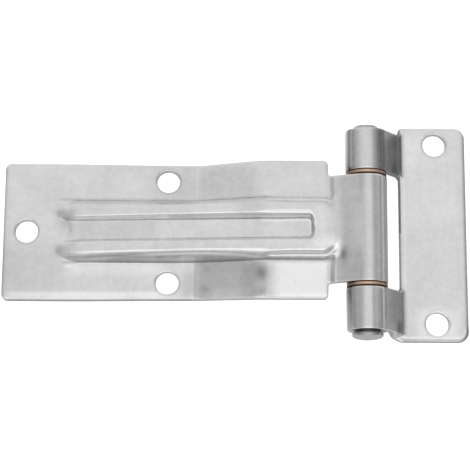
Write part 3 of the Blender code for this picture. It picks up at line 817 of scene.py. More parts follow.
def wing_height(x):
    """Top of the strap beside the bead, x being measured from the pin axis."""
    s, sheet = sizes().strap, sizes().sheet.thickness
    ramp = (s.plateau - sheet) / (s.ramp_start - s.ramp_end)
    rise = rounded_rise(x + s.ramp_start, s.ramp_bend)
    rise = rise - rounded_rise(x + s.ramp_end, s.plateau_bend)
    pressed = sheet + ramp * rise
    touch = AXIS_Z * math.sin(s.neck_slope)
    neck = AXIS_Z * (1 + math.cos(s.neck_slope)) + math.tan(s.neck_slope) * (x + touch)
    height = pressed + (neck - pressed) * smooth((x + s.neck_bend) / s.neck_step + 0.5)
    round_eye = AXIS_Z + np.sqrt(np.maximum(0.0, AXIS_Z ** 2 - x ** 2))
    height = np.where(x > -touch, round_eye, height)
    return np.where(x > 0, 2 * AXIS_Z, height)


def crest_height(x):
    """Top of the bead: it climbs, runs level and rises again to meet the eye."""
    s = sizes().strap
    top = 2 * AXIS_Z
    bead_start = s.reach - s.bead_inset
    slope = (s.bead_top - sizes().sheet.thickness - s.bead_nose_rise) / (bead_start - s.bead_level)
    climb = s.bead_top - slope * rounded_rise(-x - s.bead_level, 2 * s.ramp_bend)
    bow = (top - s.bead_top) / (s.crown_reach - s.crown_rest) ** 2
    crown = top - bow * np.maximum(0.0, -x - s.crown_rest) ** 2
    return np.minimum(top, (climb + crown + np.hypot(climb - crown, 0.0004)) / 2)


def past_corner(over_x, over_y):
    """Distance from the middle of a corner's rounding, given how far both sides are passed."""
    in_corner = (over_x > 0) & (over_y > 0)
    return np.where(in_corner, np.hypot(over_x, over_y), np.maximum(over_x, over_y))


def round_nose(x, y, off):
    """Distance off the crest, whose ribs end in rounded noses at the free end."""
    s = sizes().strap
    before = s.bead_nose + s.nose_foot - s.reach - x
    inner = s.groove_width / 2 + s.groove_wall - np.abs(y)
    share = smooth(before / s.bead_nose + 0.5)
    beside = np.maximum(off, inner * share - (1 - share) * s.bead_shoulder)
    over_x = before * s.bead_wall / s.bead_nose + s.nose_corner
    over_y = beside + s.nose_corner
    ended = past_corner(over_x, over_y) - s.nose_corner
    return np.where(before > -s.bead_nose, ended, off)


def groove_distance(x, y):
    """Distance off the edge of the groove's floor."""
    s = sizes().strap
    over_x = (x + s.groove_end) * s.groove_end_wall + s.groove_corner
    over_y = np.abs(y) - s.groove_width / 2 + s.groove_corner
    return past_corner(over_x, over_y) - s.groove_corner


def ledged(share, amount):
    """Turns an even wall into one with a ledge half way up."""
    return share - amount * np.sin(4 * math.pi * share) / (4 * math.pi)


def past_foot(centred):
    """Distance outwards from the foot of the bead's walls."""
    s = sizes().strap
    return np.abs(centred) - s.bead_width / 2 - s.bead_wall - s.bead_spread * (centred < 0)


def strap_top(x, y):
    """Height of the pressed strap's upper face."""
    s, sheet = sizes().strap, sizes().sheet.thickness
    centred = y - s.bead_offset
    outside = past_foot(centred)
    skin = wing_height(x)
    crest = np.maximum(skin, crest_height(x))
    near_neck = passed(x, -s.wing_step - s.wall_lead, s.wall_strip)
    ledge = s.wall_ledge * passed(x, -s.ramp_end, 0.006) * (1 - passed(x, -s.neck_bend, 0.004))
    run = s.bead_wall + (s.neck_wall - s.bead_wall) * near_neck
    off = round_nose(x, centred, outside + run)
    foot_round = s.bead_foot + s.neck_foot * passed(x, -s.wing_step, 0.004)
    top_round = s.bead_shoulder + s.crest_softer * passed(x, -0.050, 0.015)
    top_round = top_round + s.neck_crest * near_neck
    raised = ledged(wall_share(off, run, top_round, foot_round), ledge)
    height = skin + (crest - skin) * raised
    bead_start = s.reach - s.bead_inset
    slope = (2 * AXIS_Z - s.groove_end_depth - sheet) / (bead_start - s.groove_end)
    floor = np.maximum(skin, sheet + slope * (x + bead_start))
    groove = groove_distance(x, centred)
    sunk = wall_share(groove, s.groove_wall, s.groove_foot, s.groove_shoulder)
    sunk = ledged(sunk, ledge * (centred > 0))
    soft = s.groove_runout * smooth(raised / 0.25)
    lower = (floor + height - np.hypot(floor - height, soft)) / 2
    height = height + (np.minimum(lower, height) - height) * sunk
    return height + wing_press(x, centred, outside)


def wing_press(x, centred, outside):
    """Slight bends of the wings: up beside the bead, down along the edges."""
    s = sizes().strap
    on_wing = 1 - passed(x, -s.wing_step, 0.003)
    near_bead = passed(x, s.bead_inset - s.reach, 0.012) * (outside > 0)
    foot = s.soft_foot_rise * (1 - np.clip(outside / s.soft_foot, 0.0, 1.0)) ** 2 * near_bead
    inside = np.minimum(s.width / 2 - np.abs(centred + s.bead_offset), x + s.reach)
    edge = s.soft_edge_drop * (1 - np.clip(inside / s.soft_edge, 0.0, 1.0)) ** 2
    plateau = passed(x, -s.ramp_end - 0.004, 0.008) * (centred < 0)
    tilt = math.tan(s.wing_tilt) * np.maximum(0.0, outside) * plateau
    return on_wing * (foot - edge - tilt)


def strap_underside(x, y):
    """Lower face, nowhere nearer to the upper face than the sheet's thickness."""
    sheet = sizes().sheet.thickness
    lowest = strap_top(x, y) - sheet
    for ring in np.linspace(0.0, math.pi / 2, 12)[1:]:
        out, down = sheet * math.sin(ring), sheet * math.cos(ring)
        for turn in np.linspace(0.0, 2 * math.pi, 24, endpoint=False):
            reached = strap_top(x + out * math.cos(turn), y + out * math.sin(turn))
            lowest = np.minimum(lowest, reached - down)
    return np.where(x > 0, 2 * AXIS_Z - sheet, np.maximum(lowest, 0.0))


def waist_draw(x, y):
    """How far the drawing of the bead pulls the long edges in."""
    s = sizes().strap
    bead_start = s.reach - s.bead_inset
    wing = np.maximum(0.0, np.abs(y) - s.bead_width / 2) / (s.width / 2 - s.bead_width / 2)
    before = passed(x, -bead_start, bead_start - s.ramp_start)
    after = passed(x, -s.ramp_start, s.ramp_start - s.ramp_end)
    return s.waist_draw * wing * (before - after)


def eye_middle():
    """Radius of the middle of a rolled sheet."""
    return AXIS_Z - sizes().sheet.thickness / 2


def strap_roll():
    return roll_turn() - sizes().strap.neck_slope


def strap_roll_length():
    return eye_middle() * strap_roll()


def strap_blank():
    """Blank of the strap leaf, flat from the free end to the end of the roll."""
    s = sizes().strap
    edge = sizes().sheet.edge_roll
    end = strap_roll_length()
    bead_start = s.reach - s.bead_inset
    half_neck, half = s.neck_width / 2, s.width / 2
    along = grid_lines([(-s.reach, -s.reach + edge, 0.0004)] + chain(
        -s.reach, (-bead_start, 0.0022), (-bead_start + 2 * s.bead_nose, 0.0007),
        (-s.ramp_start - s.ramp_bend, 0.0016), (-s.ramp_start + s.ramp_bend, 0.0005),
        (-s.ramp_end - s.plateau_bend, 0.0011), (-s.ramp_end + s.plateau_bend, 0.0007),
        (-s.groove_end - s.groove_corner, 0.0010),
        (-s.groove_end + s.groove_wall + s.groove_shoulder, 0.00032),
        (-s.wing_step - edge, 0.0006), (-s.neck_bend + s.neck_step, 0.0003),
        (-s.crown_reach - 0.001, 0.0005), (-s.crown_reach + 0.001, 0.0003),
        (0.0, 0.0005), (end, 0.0007)))
    groove_edge = s.groove_width / 2
    crest_inner, crest_outer = groove_edge + s.groove_wall, s.bead_width / 2
    foot = crest_outer + s.bead_wall
    upper = grid_lines(chain(
        0.0005, (groove_edge - s.groove_corner, 0.0010), (groove_edge - s.groove_foot, 0.0006),
        (crest_inner + s.groove_shoulder, 0.00022), (crest_outer - s.bead_shoulder, 0.0006),
        (crest_outer + s.bead_shoulder, 0.00026), (foot - s.bead_foot, 0.0003),
        (foot + 2 * s.bead_foot, 0.0002), (half_neck - edge, 0.0012), (half_neck, 0.0004),
        (half - edge, 0.0012), (half, 0.0004)))
    lower_side = [
        (-s.reach, -half, s.corner), (-s.wing_step, -half, s.wing_corner),
        (-s.wing_step, -half_neck, s.neck_corner), (end, -half_neck, CUT_CORNER)]
    corners = lower_side + [(x, -y, radius) for x, y, radius in lower_side[::-1]]
    pair = half - s.pair_inset
    holes = [(s.end_hole_inset - s.reach, 0.0), (-s.pair_reach, pair), (-s.pair_reach, -pair)]
    return Blank(corners, holes, along, np.concatenate([-upper[::-1], upper]))


def eye_tone(turn, bands):
    """Painted light and shade on a rolled eye, the turn being degrees from its top."""
    tone = np.ones(len(turn))
    for low, high, blur, change in bands:
        tone *= 1 + change * soft_span(turn, low, high, blur)
    return tone


def crease(distance, width):
    """Narrow line along the place where a distance is zero."""
    return np.exp(-(distance / width) ** 2)


def strap_tone(x, y, depth):
    """Painted shade in the creases at the feet of the pressed walls, and patches of painted light
    and shade.
    """
    s = sizes().strap
    centred = y - s.bead_offset
    along, groove = x * 1000, groove_distance(x, centred) * 1000
    foot, inside = past_foot(centred) * 1000, (s.width / 2 - np.abs(y)) * 1000
    nose, ramp_end, neck = ((place * 1000) for place in (
        s.bead_inset - s.reach, -s.ramp_end, -s.neck_bend))
    ramp_start, wing_end = -s.ramp_start * 1000, -s.wing_step * 1000
    head_side = y < 0

    deep = soft_span(along, -130, ramp_end + 1, 30)
    south = crease(foot + 0.3, 0.6) * soft_span(along, nose + 4, neck, 4) * head_side
    north = crease(foot, 0.5) * soft_span(along, nose + 1.9, -47, 8) * (y > 0)
    floor = crease(groove - 0.1, 0.4) * soft_span(along, -143, -20, 4)
    floor_change = 0.16 + 0.34 * soft_step(along, -95, 60) * (y > 0)
    raised_end = soft_span(along, -52, -20, 8)
    lit = soft_span(groove, 1.7, 3.4, 0.4) + crease(groove - 0.6, 0.3) + crease(groove + 1, 0.5)
    early = soft_span(groove, 0.4, 1.6, 0.4) * soft_span(along, -145, -98, 6)
    upper = soft_step(y, 0.001, 0.003)
    wall = soft_span(foot, -3, -0.6, 0.6) * soft_span(along, -148, -21, 3) * head_side
    joggle = soft_step(along, ramp_start - 0.2, 0.8) * (1 - soft_step(along, ramp_end, 8))
    rim = soft_span(inside, -1, 0.8, 0.3) * (1 - soft_step(along, -85, 4))
    rim = (rim + crease(inside - 0.8, 0.3) * soft_span(along, -50, wing_end, 4)) * head_side
    # Painted shade in the creases, on the lower walls, along the edge and on the joggle; painted
    # highlights beside the groove.
    changes = (
        -0.30 * north,
        -(0.30 + 0.15 * deep) * south,
        -floor_change * floor,
        0.25 * upper * (lit * raised_end + early),
        -0.20 * upper * crease(groove - 1.25, 0.25) * raised_end,
        -(0.08 + 0.14 * soft_span(along, -125, -100, 10)) * wall,
        -0.38 * rim,
        joggle * np.where(centred < 0, -0.20 * soft_step(foot, 0, 0.6), 0.03),
    )
    tone = marked(x, y, STRAP_PAINTED_PATCHES) * spotted(x, y, STRAP_PAINTED_SPOTS)
    for change in changes:
        tone = tone * (1 + change)
    turn = np.degrees(x / eye_middle())
    return np.minimum(tone * eye_tone(turn, CENTRAL_EYE), BRIGHTEST) * cut_tone(depth)


def make_strap_leaf():
    sheet = sizes().sheet.thickness
    blank = strap_blank()
    x, y, depth = blank.arrays()
    top = strap_top(x, y)
    bottom = strap_underside(x, y)
    z = top + (bottom - top) * depth / sheet
    moved = np.column_stack([x, np.sign(y) * (np.abs(y) - waist_draw(x, y)), z])
    piece = mesh_piece("pressed_strap_leaf", moved, blank.faces)
    tone = strap_tone(x, y, depth) * hole_tone(blank, x, y)
    write_tone(piece, tone, passed(x, *GRAIN_TURN))
    middle = 2 * AXIS_Z - sheet / 2
    path = arc_path(0.0, middle, 0.0, [(strap_roll_length(), -strap_roll())])
    return roll_leaf(piece, "Strap steel", path, {
        "Start": 0.0, "Direction": 1.0, "Middle": middle,
        "Inner": -1.0, "Outer": 1.0, "Fade": 0.001})


# ---------------------------------------------------------------- frame leaf

def frame_bends():
    """Lengths and turns of the tabs, from the far edge to the end of the roll."""
    f, sheet = sizes().leaf, sizes().sheet.thickness
    drop = AXIS_Z - sheet
    slope = tangent_rise(f.tab_foot, drop)
    fillet_run = f.tab_fillet * math.tan(slope / 2)
    straight = math.sqrt(f.tab_foot ** 2 + drop ** 2 - AXIS_Z ** 2) - fillet_run
    return [
        (f.reach - f.tab_foot - fillet_run, 0.0),
        ((f.tab_fillet + sheet / 2) * slope, -slope),
        (straight, 0.0),
        (eye_middle() * roll_turn(), roll_turn()),
    ]


def tab_range():
    """Where a tab begins and ends along the pin."""
    strap, washer, f = sizes().strap, sizes().washer, sizes().leaf
    inner = strap.neck_width / 2 + washer.thickness + 2 * washer.clearance
    return inner, f.length / 2 - f.tab_shoulder


def frame_tone(x, y, depth, roll_start, blank):
    """Painted light and shade: bands round the eyes, shaded tabs, and bright and dark lines along
    the head's end.
    """
    f = sizes().leaf
    slope = tangent_rise(f.tab_foot, AXIS_Z - sizes().sheet.thickness)
    turn = np.degrees(slope - (roll_start - x) / eye_middle())
    eyes = np.where(y > 0, eye_tone(turn, UPPER_EYE), eye_tone(turn, LOWER_EYE))
    tab = np.where(y > 0, UPPER_TAB, LOWER_TAB)
    tab = tab * marked(x, y, TAB_PAINTED_SHADE) * spotted(x, y, FRAME_PAINTED_SPOTS)
    inside, from_hole = blank.inside(x, y) * 1000, blank.hole_distance(x, y) * 1000
    south = soft_step(-y, 0.047, 0.002) * (inside > -1)
    plate = 1 + 0.05 * soft_span(from_hole, 0, 3.5, 2) * (y < 0)
    plate = plate * (1 - 0.42 * south * soft_span(inside, -1, 1.1, 0.3))
    plate = plate * (1 + 0.14 * south * soft_span(inside, 1.3, 2.6, 0.4))
    flat = np.where(x < f.tab_foot, tab, plate) * hole_tone(blank, x, y)
    return np.where(turn < EYE_END, eyes, flat) * marked(x, y, FRAME_PAINTED_PATCHES) * cut_tone(depth)


def make_frame_leaf():
    f, sheet = sizes().leaf, sizes().sheet.thickness
    edge = sizes().sheet.edge_roll
    bends = frame_bends()
    inner, outer = tab_range()
    half = f.length / 2
    fillet_start = f.reach - bends[0][0]
    fillet_end = fillet_start - bends[1][0]
    roll_start = fillet_end - bends[2][0]
    end = f.reach - sum(run for run, turn in bends)
    along = grid_lines(
        chain(end, (roll_start, 0.0007), (fillet_end, 0.0008), (fillet_start, 0.0004))
        + chain(f.edge, (f.edge + edge, 0.0004), (f.reach - f.corner, 0.0016),
                (f.reach - edge, 0.0008), (f.reach, 0.0004)))
    upper = grid_lines(chain(
        0.0005, (inner - f.tab_fade, 0.0016), (inner + edge, 0.00035),
        (outer - edge, 0.0014), (outer + f.tab_fade, 0.00035), (half, 0.0004)))
    corners = [
        (f.reach, half, f.corner), (f.edge, half, f.shoulder_radius),
        (f.edge, outer, f.tab_root), (end, outer, CUT_CORNER),
        (end, inner, CUT_CORNER), (f.edge, inner, f.tab_root),
        (f.edge, -inner, f.tab_root), (end, -inner, CUT_CORNER),
        (end, -outer, CUT_CORNER), (f.edge - f.flare, -outer, f.flare_radius),
        (f.edge, -half, f.flare_radius), (f.reach, -half, f.corner),
    ]
    holes = [(-PIN_X, half - f.hole_inset), (-PIN_X, f.hole_inset - half)]
    blank = Blank(corners, holes, along, np.concatenate([-upper[::-1], upper]))
    x, y, depth = blank.arrays()
    far = smooth((x - f.reach) / f.far_lead + 1.0)
    rolled = far * roll_drop(blank.inside(x, y), f.far_roll, f.far_drop)
    z = sheet - depth - rolled * (1 - depth / sheet)
    piece = mesh_piece("pressed_frame_leaf", np.column_stack([x, y, z]), blank.faces)
    write_tone(piece, frame_tone(x, y, depth, roll_start, blank))
    path = arc_path(f.reach, sheet / 2, math.pi, bends)
    return roll_leaf(piece, "Frame steel", path, {
        "Start": f.reach, "Direction": -1.0, "Middle": sheet / 2, "Inner": inner,
        "Outer": outer, "Fade": f.tab_fade})


# ---------------------------------------------------------------- pin and washers

def place_round(bm, mesh):
    """Turns the faces of a round piece outwards and brings it to the pin axis."""
    bmesh.ops.recalc_face_normals(bm, faces=bm.faces)
    bm.transform(Matrix.Translation((PIN_X, 0.0, AXIS_Z)))
    bm.to_mesh(mesh)
    bm.free()


def make_hinge_pin():
    """Headed pin, spun from its profile, with a gap above the head that carries painted shadow."""
    p = sizes().pin
    outer = tab_range()[1]
    head_top = -outer - p.head_gap
    head_rim, tail_rim = head_top - p.head_edge, outer + p.tail_edge
    radius, head, soft = p.diameter / 2, p.head_diameter / 2, p.head_corner

    def quarter(count):
        turns = np.linspace(0.0, math.pi / 2, count)
        return zip(np.sin(turns).tolist(), np.cos(turns).tolist())

    profile = [(radius * a, tail_rim + p.tail_dome * b) for a, b in quarter(14)]
    profile += [(radius, head_top)]
    profile += [(head + soft * (a - 1), head_top + soft * (b - 1)) for a, b in quarter(6)]
    profile += [(head * b, head_rim - p.head_dome * a) for a, b in quarter(22)]
    profile[-1] = (0.0, profile[-1][1])
    bm = bmesh.new()
    line = [bm.verts.new((out, along, 0.0)) for out, along in profile]
    edges = [bm.edges.new(pair) for pair in zip(line, line[1:])]
    bmesh.ops.spin(bm, geom=line + edges, axis=(0.0, 1.0, 0.0), cent=(0.0, 0.0, 0.0),
                   angle=2 * math.pi, steps=96, use_merge=True)
    bmesh.ops.remove_doubles(bm, verts=bm.verts, dist=1e-7)
    mesh = bpy.data.meshes.new("headed_pin")
    place_round(bm, mesh)
    mesh.materials.append(bpy.data.materials["Pin steel"])
    piece = placed_object("headed_pin", mesh)
    along = np.array([vertex.co.y for vertex in mesh.vertices])
    change, lead, blur = PIN_GAP
    write_tone(piece, 1 + change * soft_span(along, head_top - lead, -outer, blur))
    shade(piece, 35)
    return piece


def washer_tree():
    """A ring of rounded section, placed at both ends of the central eye."""
    t = new_tree("Thrust washers", "GeometryNodeTree", [
        ("Geometry", "Geometry", None), ("Inner Radius", "Float", 0.006),
        ("Outer Radius", "Float", 0.010), ("Thickness", "Float", 0.002),
        ("Rounding", "Float", 0.0003), ("Distance", "Float", 0.027), ("Sides", "Int", 96),
        ("Material", "Material", None)], [("Geometry", "Geometry")])
    given = t.given
    inner, outer = given["Inner Radius"], given["Outer Radius"]
    middle = t.math("MULTIPLY", t.math("ADD", outer, inner), 0.5)
    circle = t.node("GeometryNodeCurvePrimitiveCircle", {
        "Resolution": given["Sides"], "Radius": middle}, mode="RADIUS")
    section = t.node("GeometryNodeCurvePrimitiveQuadrilateral", {
        "Width": t.math("SUBTRACT", outer, inner), "Height": given["Thickness"]},
        mode="RECTANGLE")
    rounded = t.node("GeometryNodeFilletCurve", {
        "Curve": section.outputs[0], "Radius": given["Rounding"], "Count": 4}, mode="POLY")
    ring = t.node("GeometryNodeCurveToMesh", {
        "Curve": circle.outputs[0], "Profile Curve": rounded.outputs[0]})
    below = t.joined(0.0, t.math("MULTIPLY", given["Distance"], -1.0), 0.0)
    above = t.joined(0.0, given["Distance"], 0.0)
    ends = t.node("GeometryNodeMeshLine", {
        "Count": 2, "Start Location": below, "Offset": above}, mode="END_POINTS")
    placed = t.node("GeometryNodeInstanceOnPoints", {
        "Points": ends.outputs[0], "Instance": ring.outputs[0],
        "Rotation": (math.pi / 2, 0.0, 0.0)})
    t.finish(placed.outputs[0])


def make_washers():
    w, pin = sizes().washer, sizes().pin
    inner = tab_range()[0]
    middle = (sizes().strap.neck_width / 2 + inner) / 2
    piece = mesh_piece("bronze_thrust_washers", np.zeros((0, 3)), [])
    run_tree(piece, bpy.data.node_groups["Thrust washers"], {
        "Inner Radius": pin.diameter / 2 + pin.clearance, "Outer Radius": w.diameter / 2,
        "Thickness": w.thickness, "Rounding": w.rounding, "Distance": middle, "Sides": 96,
        "Material": bpy.data.materials["Bronze"]})
    bm = bmesh.new()
    bm.from_mesh(piece.data)
    bmesh.ops.remove_doubles(bm, verts=bm.verts, dist=1e-7)
    for step in sorted({sign * step for step in WASHER_STEPS for sign in (-1, 1)}):
        for side in (-1, 1):
            bmesh.ops.bisect_plane(
                bm, geom=bm.verts[:] + bm.edges[:] + bm.faces[:], dist=1e-6,
                plane_co=(0.0, side * middle + step * w.thickness, 0.0),
                plane_no=(0.0, 1.0, 0.0))
    place_round(bm, piece.data)
    places = np.array([vertex.co[:] for vertex in piece.data.vertices])
    turn = np.abs(np.degrees(np.arctan2(places[:, 0] - PIN_X, places[:, 2] - AXIS_Z)))
    off = (places[:, 1] - middle * np.sign(places[:, 1])) / w.thickness
    # Painted shade: darker away from the top and towards both faces of each washer.
    tone = 1.0
    for value, (change, edge, blur) in (
            (turn, WASHER_TURN), (off, WASHER_OUTER), (-off, WASHER_INNER)):
        tone = tone * (1 + change * soft_step(value, edge, blur))
    write_tone(piece, tone)
    piece.data.materials.clear()
    piece.data.materials.append(bpy.data.materials["Bronze"])
    piece.data.polygons.foreach_set("material_index", [0] * len(piece.data.polygons))
    shade(piece, 35)
    return piece


# ---------------------------------------------------------------- finishes

def satin_group():
    """Clouds, mottling and fine grain of a pickled and plated sheet."""
    t = new_tree("Satin surface", "ShaderNodeTree", [
        ("Color", "Color", (0.8, 0.8, 0.8, 1.0)), ("Roughness", "Float", 0.3),
        ("Clouds", "Float", 0.05), ("Mottle", "Float", 0.04), ("Streaks", "Float", 0.02),
        ("Along Pin", "Float", 0.0), ("Tone", "Float", 1.0)],
        [("Color", "Color"), ("Roughness", "Float"), ("Height", "Float")])
    given = t.given
    place = t.node("ShaderNodeTexCoord").outputs["Object"]

    def noise(scale, detail, stretch=None):
        """Noise around zero, drawn out where a stretch is given."""
        source = place
        if stretch:
            source = t.node("ShaderNodeMapping", {"Vector": place, "Scale": stretch}).outputs[0]
        found = t.node("ShaderNodeTexNoise", {
            "Vector": source, "Scale": scale, "Detail": detail, "Roughness": 0.5})
        return t.math("SUBTRACT", found.outputs["Fac"], 0.5)

    clouds, mottle, grain = noise(70.0, 3.0), noise(330.0, 3.0), noise(1500.0, 1.0)
    across_pin = t.math("MULTIPLY_ADD", given["Along Pin"], -0.4, 0.4)
    streaks = t.total(0.0, (noise(700.0, 2.0, (0.05, 1.0, 1.0)), across_pin),
                      (noise(900.0, 2.0, (1.0, 0.04, 1.0)), given["Along Pin"]))
    tone = t.total(1.0, (clouds, given["Clouds"]), (mottle, given["Mottle"]),
                   (streaks, given["Streaks"]), (grain, 0.12))
    # The tone read from the piece brings in its painted light and shade.
    shaded = t.node("ShaderNodeVectorMath", {
        0: given["Color"], "Scale": t.math("MULTIPLY", tone, given["Tone"])}, operation="SCALE")
    t.node("NodeGroupOutput", {
        "Color": shaded.outputs[0],
        "Roughness": t.math("MULTIPLY_ADD", mottle, 0.10, given["Roughness"], clamp=True),
        "Height": t.total(0.0, (grain, 0.10), (mottle, 0.55), (streaks, 0.45))})


def satin(*values):
    """Settings of the satin surface in the order that its inputs have."""
    return dict(zip(("Roughness", "Clouds", "Mottle", "Streaks", "Along Pin"), values))


def metal(name, base, bump, inputs, reads):
    """A metal whose satin surface reads some inputs from the piece's own attributes."""
    material = bpy.data.materials.new(name)
    material.use_nodes = True
    material.diffuse_color = (*base, 1.0)
    t = Tree(material.node_tree)
    fed = dict(inputs, Color=(*base, 1.0))
    for label, attribute in reads.items():
        fed[label] = t.node("ShaderNodeAttribute", attribute_name=attribute).outputs["Fac"]
    surface = t.node("ShaderNodeGroup", node_tree=bpy.data.node_groups["Satin surface"])
    for label, value in fed.items():
        t.feed(value, surface.inputs[label])
    relief = t.node("ShaderNodeBump", {
        "Strength": bump, "Distance": 0.0001, "Height": surface.outputs["Height"]})
    shader = material.node_tree.nodes["Principled BSDF"].inputs
    shader["Metallic"].default_value = 1.0
    t.feed(surface.outputs["Color"], shader["Base Color"])
    t.feed(surface.outputs["Roughness"], shader["Roughness"])
    t.feed(relief.outputs["Normal"], shader["Normal"])


# ---------------------------------------------------------------- stage

KEY_PLACE, KEY_AIM = Vector((-0.1, -0.5, 0.9)), Vector((-0.1, 0.0, 0.0))
KEY_WIDTH, KEY_HEIGHT = 0.9, 0.6
FLOOR_SIZE, FLOOR_PLACE = 3.0, (-0.1, 0.0, -0.0004)
FLOOR_SEEN, FLOOR_MIRRORED = 0.80, 0.15  # glow for the camera and in reflections


def make_floor():
    """Plain floor that looks white and still takes the hinge's shadow."""
    bm = bmesh.new()
    bmesh.ops.create_grid(bm, x_segments=8, y_segments=8, size=FLOOR_SIZE)
    mesh = bpy.data.meshes.new("studio_floor")
    bm.to_mesh(mesh)
    bm.free()
    mesh.transform(Matrix.Translation(FLOOR_PLACE))
    floor = placed_object("studio_floor", mesh)
    material = bpy.data.materials.new("Studio floor")
    material.use_nodes = True
    material.node_tree.nodes.clear()
    t = Tree(material.node_tree)
    rays = t.node("ShaderNodeLightPath").outputs
    seen = t.total(0.0, (rays["Is Camera Ray"], FLOOR_SEEN),
                   (rays["Is Glossy Ray"], FLOOR_MIRRORED))
    diffuse = t.node("ShaderNodeBsdfDiffuse", {"Color": (*sizes().finish.floor, 1.0)})
    glow = t.node("ShaderNodeEmission", {"Strength": seen})
    both = t.node("ShaderNodeAddShader", {0: diffuse.outputs[0], 1: glow.outputs[0]})
    t.node("ShaderNodeOutputMaterial", {"Surface": both.outputs[0]})
    floor.data.materials.append(material)


def make_world():
    """Bright overhead and behind, dark low down on the other sides: a photographer's tent."""
    stage = sizes().stage
    world = bpy.data.worlds.new("Soft tent")
    bpy.context.scene.world = world
    world.use_nodes = True
    world.node_tree.nodes.clear()
    t = Tree(world.node_tree)
    x, y, z = t.split(t.node("ShaderNodeTexCoord").outputs["Generated"])

    def wall(label, values):
        """Brightness of one side of the tent, at even steps from eye level to the top."""
        ramp = t.node("ShaderNodeValToRGB", {0: z}, label=label)
        steps = ramp.color_ramp.elements
        steps[1].position = 1.0
        for i in range(1, len(values) - 1):
            steps.new(i / (len(values) - 1))
        for step, value in zip(steps, values):
            step.color = (value, value, value, 1.0)
        return ramp.outputs["Color"]

    flat = t.math("SUBTRACT", 1.0, t.math("MULTIPLY", z, z))
    side = t.math("SQRT", t.math("MAXIMUM", flat, 1e-6))
    toward_x, toward_y = t.math("DIVIDE", x, side), t.math("DIVIDE", y, side)
    behind, front = t.eased(toward_y, 0.2, 0.95), t.eased(toward_y, -0.2, -0.95)
    rest = t.math("SUBTRACT", 1.0, t.math("ADD", behind, front))
    right = t.math("MULTIPLY", rest, t.eased(toward_x, -0.2, 0.2))
    left = t.math("SUBTRACT", rest, right)
    sky = t.total(0.0, (behind, wall("Behind", stage.behind)), (front, wall("Front", stage.front)),
                  (right, wall("Right", stage.right)), (left, wall("Left", stage.left)))
    white = (1.0, 1.0, 1.0, 1.0)
    glow = t.node("ShaderNodeBackground", {"Color": white, "Strength": sky})
    seen = t.node("ShaderNodeBackground", {"Color": white})
    rays = t.node("ShaderNodeLightPath").outputs
    mix = t.node("ShaderNodeMixShader", {
        0: rays["Is Camera Ray"], 1: glow.outputs[0], 2: seen.outputs[0]})
    t.node("ShaderNodeOutputWorld", {"Surface": mix.outputs[0]})


def make_key_light():
    """Soft rectangular lamp in front of the hinge, aimed at its middle."""
    light = bpy.data.lights.new("Key", "AREA")
    light.shape = "RECTANGLE"
    light.size, light.size_y = KEY_WIDTH, KEY_HEIGHT
    light.energy = sizes().stage.key_power
    lamp = placed_object("Key", light)
    lamp.location = KEY_PLACE
    lamp.rotation_euler = (KEY_AIM - KEY_PLACE).to_track_quat("-Z", "Y").to_euler()


def make_camera():
    """Camera at the picture's viewing angle, from azimuth, elevation and roll."""
    s = sizes().stage
    az, el = s.azimuth, s.elevation
    back = Vector((-math.sin(az) * math.cos(el), -math.cos(az) * math.cos(el), math.sin(el)))
    right = Vector((math.cos(az), -math.sin(az), 0.0))
    up = back.cross(right)
    side = right * math.cos(s.roll) + up * math.sin(s.roll)
    rise = up * math.cos(s.roll) - right * math.sin(s.roll)
    data = bpy.data.cameras.new("Catalogue view")
    data.lens, data.sensor_width, data.clip_start = s.lens, 36.0, 0.01
    camera = placed_object("Catalogue view", data)
    matrix = Matrix((side, rise, back)).transposed().to_4x4()
    matrix.translation = Vector(s.target) + back * s.distance
    camera.matrix_world = matrix
    bpy.context.scene.camera = camera


# ---------------------------------------------------------------- operators

class HINGE_OT_finishes(bpy.types.Operator):
    """Build the node trees and the metals"""
    bl_idname = "hinge.finishes"
    bl_label = "Finishes"

    def execute(self, context):
        f = sizes().finish
        rolled_sheet_tree()
        washer_tree()
        satin_group()
        toned = {"Tone": "tone"}
        metal("Strap steel", f.steel, 0.16, satin(0.25, 0.22, 0.20, 0.06, 0.0),
              {"Tone": "tone", "Along Pin": "grain"})
        metal("Frame steel", f.steel, 0.16, satin(0.25, 0.18, 0.20, 0.06, 1.0), toned)
        metal("Pin steel", f.pin_steel, 0.15, satin(0.28, 0.05, 0.14, 0.10, 0.0), toned)
        metal("Bronze", f.bronze, 0.20, satin(0.34, 0.14, 0.20, 0.04, 0.0), toned)
        return {"FINISHED"}


class HINGE_OT_strap_leaf(bpy.types.Operator):
    """Press the strap leaf and roll its central eye"""
    bl_idname = "hinge.strap_leaf"
    bl_label = "Strap leaf"

    def execute(self, context):
        piece = make_strap_leaf()
        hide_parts("strap_leaf")
        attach(piece, "strap_side")
        return {"FINISHED"}


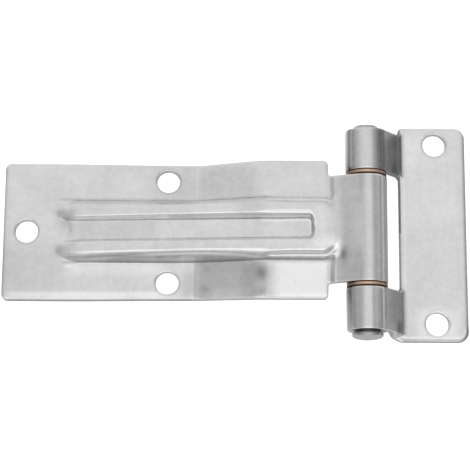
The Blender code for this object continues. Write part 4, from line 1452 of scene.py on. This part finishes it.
class HINGE_OT_frame_leaf(bpy.types.Operator):
    """Cut the frame leaf and roll its two tabs"""
    bl_idname = "hinge.frame_leaf"
    bl_label = "Frame leaf"

    def execute(self, context):
        piece = make_frame_leaf()
        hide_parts("frame_leaf")
        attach(piece, "frame_side")
        return {"FINISHED"}


class HINGE_OT_pin(bpy.types.Operator):
    """Turn the headed pin"""
    bl_idname = "hinge.pin"
    bl_label = "Pin"

    def execute(self, context):
        piece = make_hinge_pin()
        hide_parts("hinge_pin")
        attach(piece, "frame_side")
        return {"FINISHED"}


class HINGE_OT_washers(bpy.types.Operator):
    """Sweep the two thrust washers"""
    bl_idname = "hinge.washers"
    bl_label = "Thrust washers"

    def execute(self, context):
        piece = make_washers()
        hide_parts("upper_thrust_washer", "lower_thrust_washer")
        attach(piece, "frame_side")
        return {"FINISHED"}


class HINGE_OT_stage(bpy.types.Operator):
    """Set up the floor, the light and the camera"""
    bl_idname = "hinge.stage"
    bl_label = "Stage"

    def execute(self, context):
        context.scene.view_settings.view_transform = "Standard"
        make_floor()
        make_world()
        make_key_light()
        make_camera()
        return {"FINISHED"}


class HINGE_PT_panel(bpy.types.Panel):
    """Lists the pieces and the stage"""
    bl_idname = "HINGE_PT_panel"
    bl_label = "Door hinge"
    bl_space_type = "VIEW_3D"
    bl_region_type = "UI"
    bl_category = "Door hinge"

    def draw(self, context):
        for operator in OPERATORS:
            self.layout.operator(operator.bl_idname)


GROUPS = (SheetSizes, StrapSizes, FrameSizes, PinSizes, WasherSizes, FinishSettings,
          StageSettings, HingeSettings)
OPERATORS = (HINGE_OT_finishes, HINGE_OT_strap_leaf, HINGE_OT_frame_leaf, HINGE_OT_pin,
             HINGE_OT_washers, HINGE_OT_stage)


def register():
    for cls in GROUPS + OPERATORS + (HINGE_PT_panel,):
        bpy.utils.register_class(cls)
    bpy.types.Scene.hinge = PointerProperty(type=HingeSettings)


def unregister():
    del bpy.types.Scene.hinge
    for cls in reversed(GROUPS + OPERATORS + (HINGE_PT_panel,)):
        bpy.utils.unregister_class(cls)


def main():
    register()
    for name in ("finishes", "strap_leaf", "frame_leaf", "pin", "washers", "stage"):
        getattr(bpy.ops.hinge, name)()


if __name__ == "__main__":
    main()
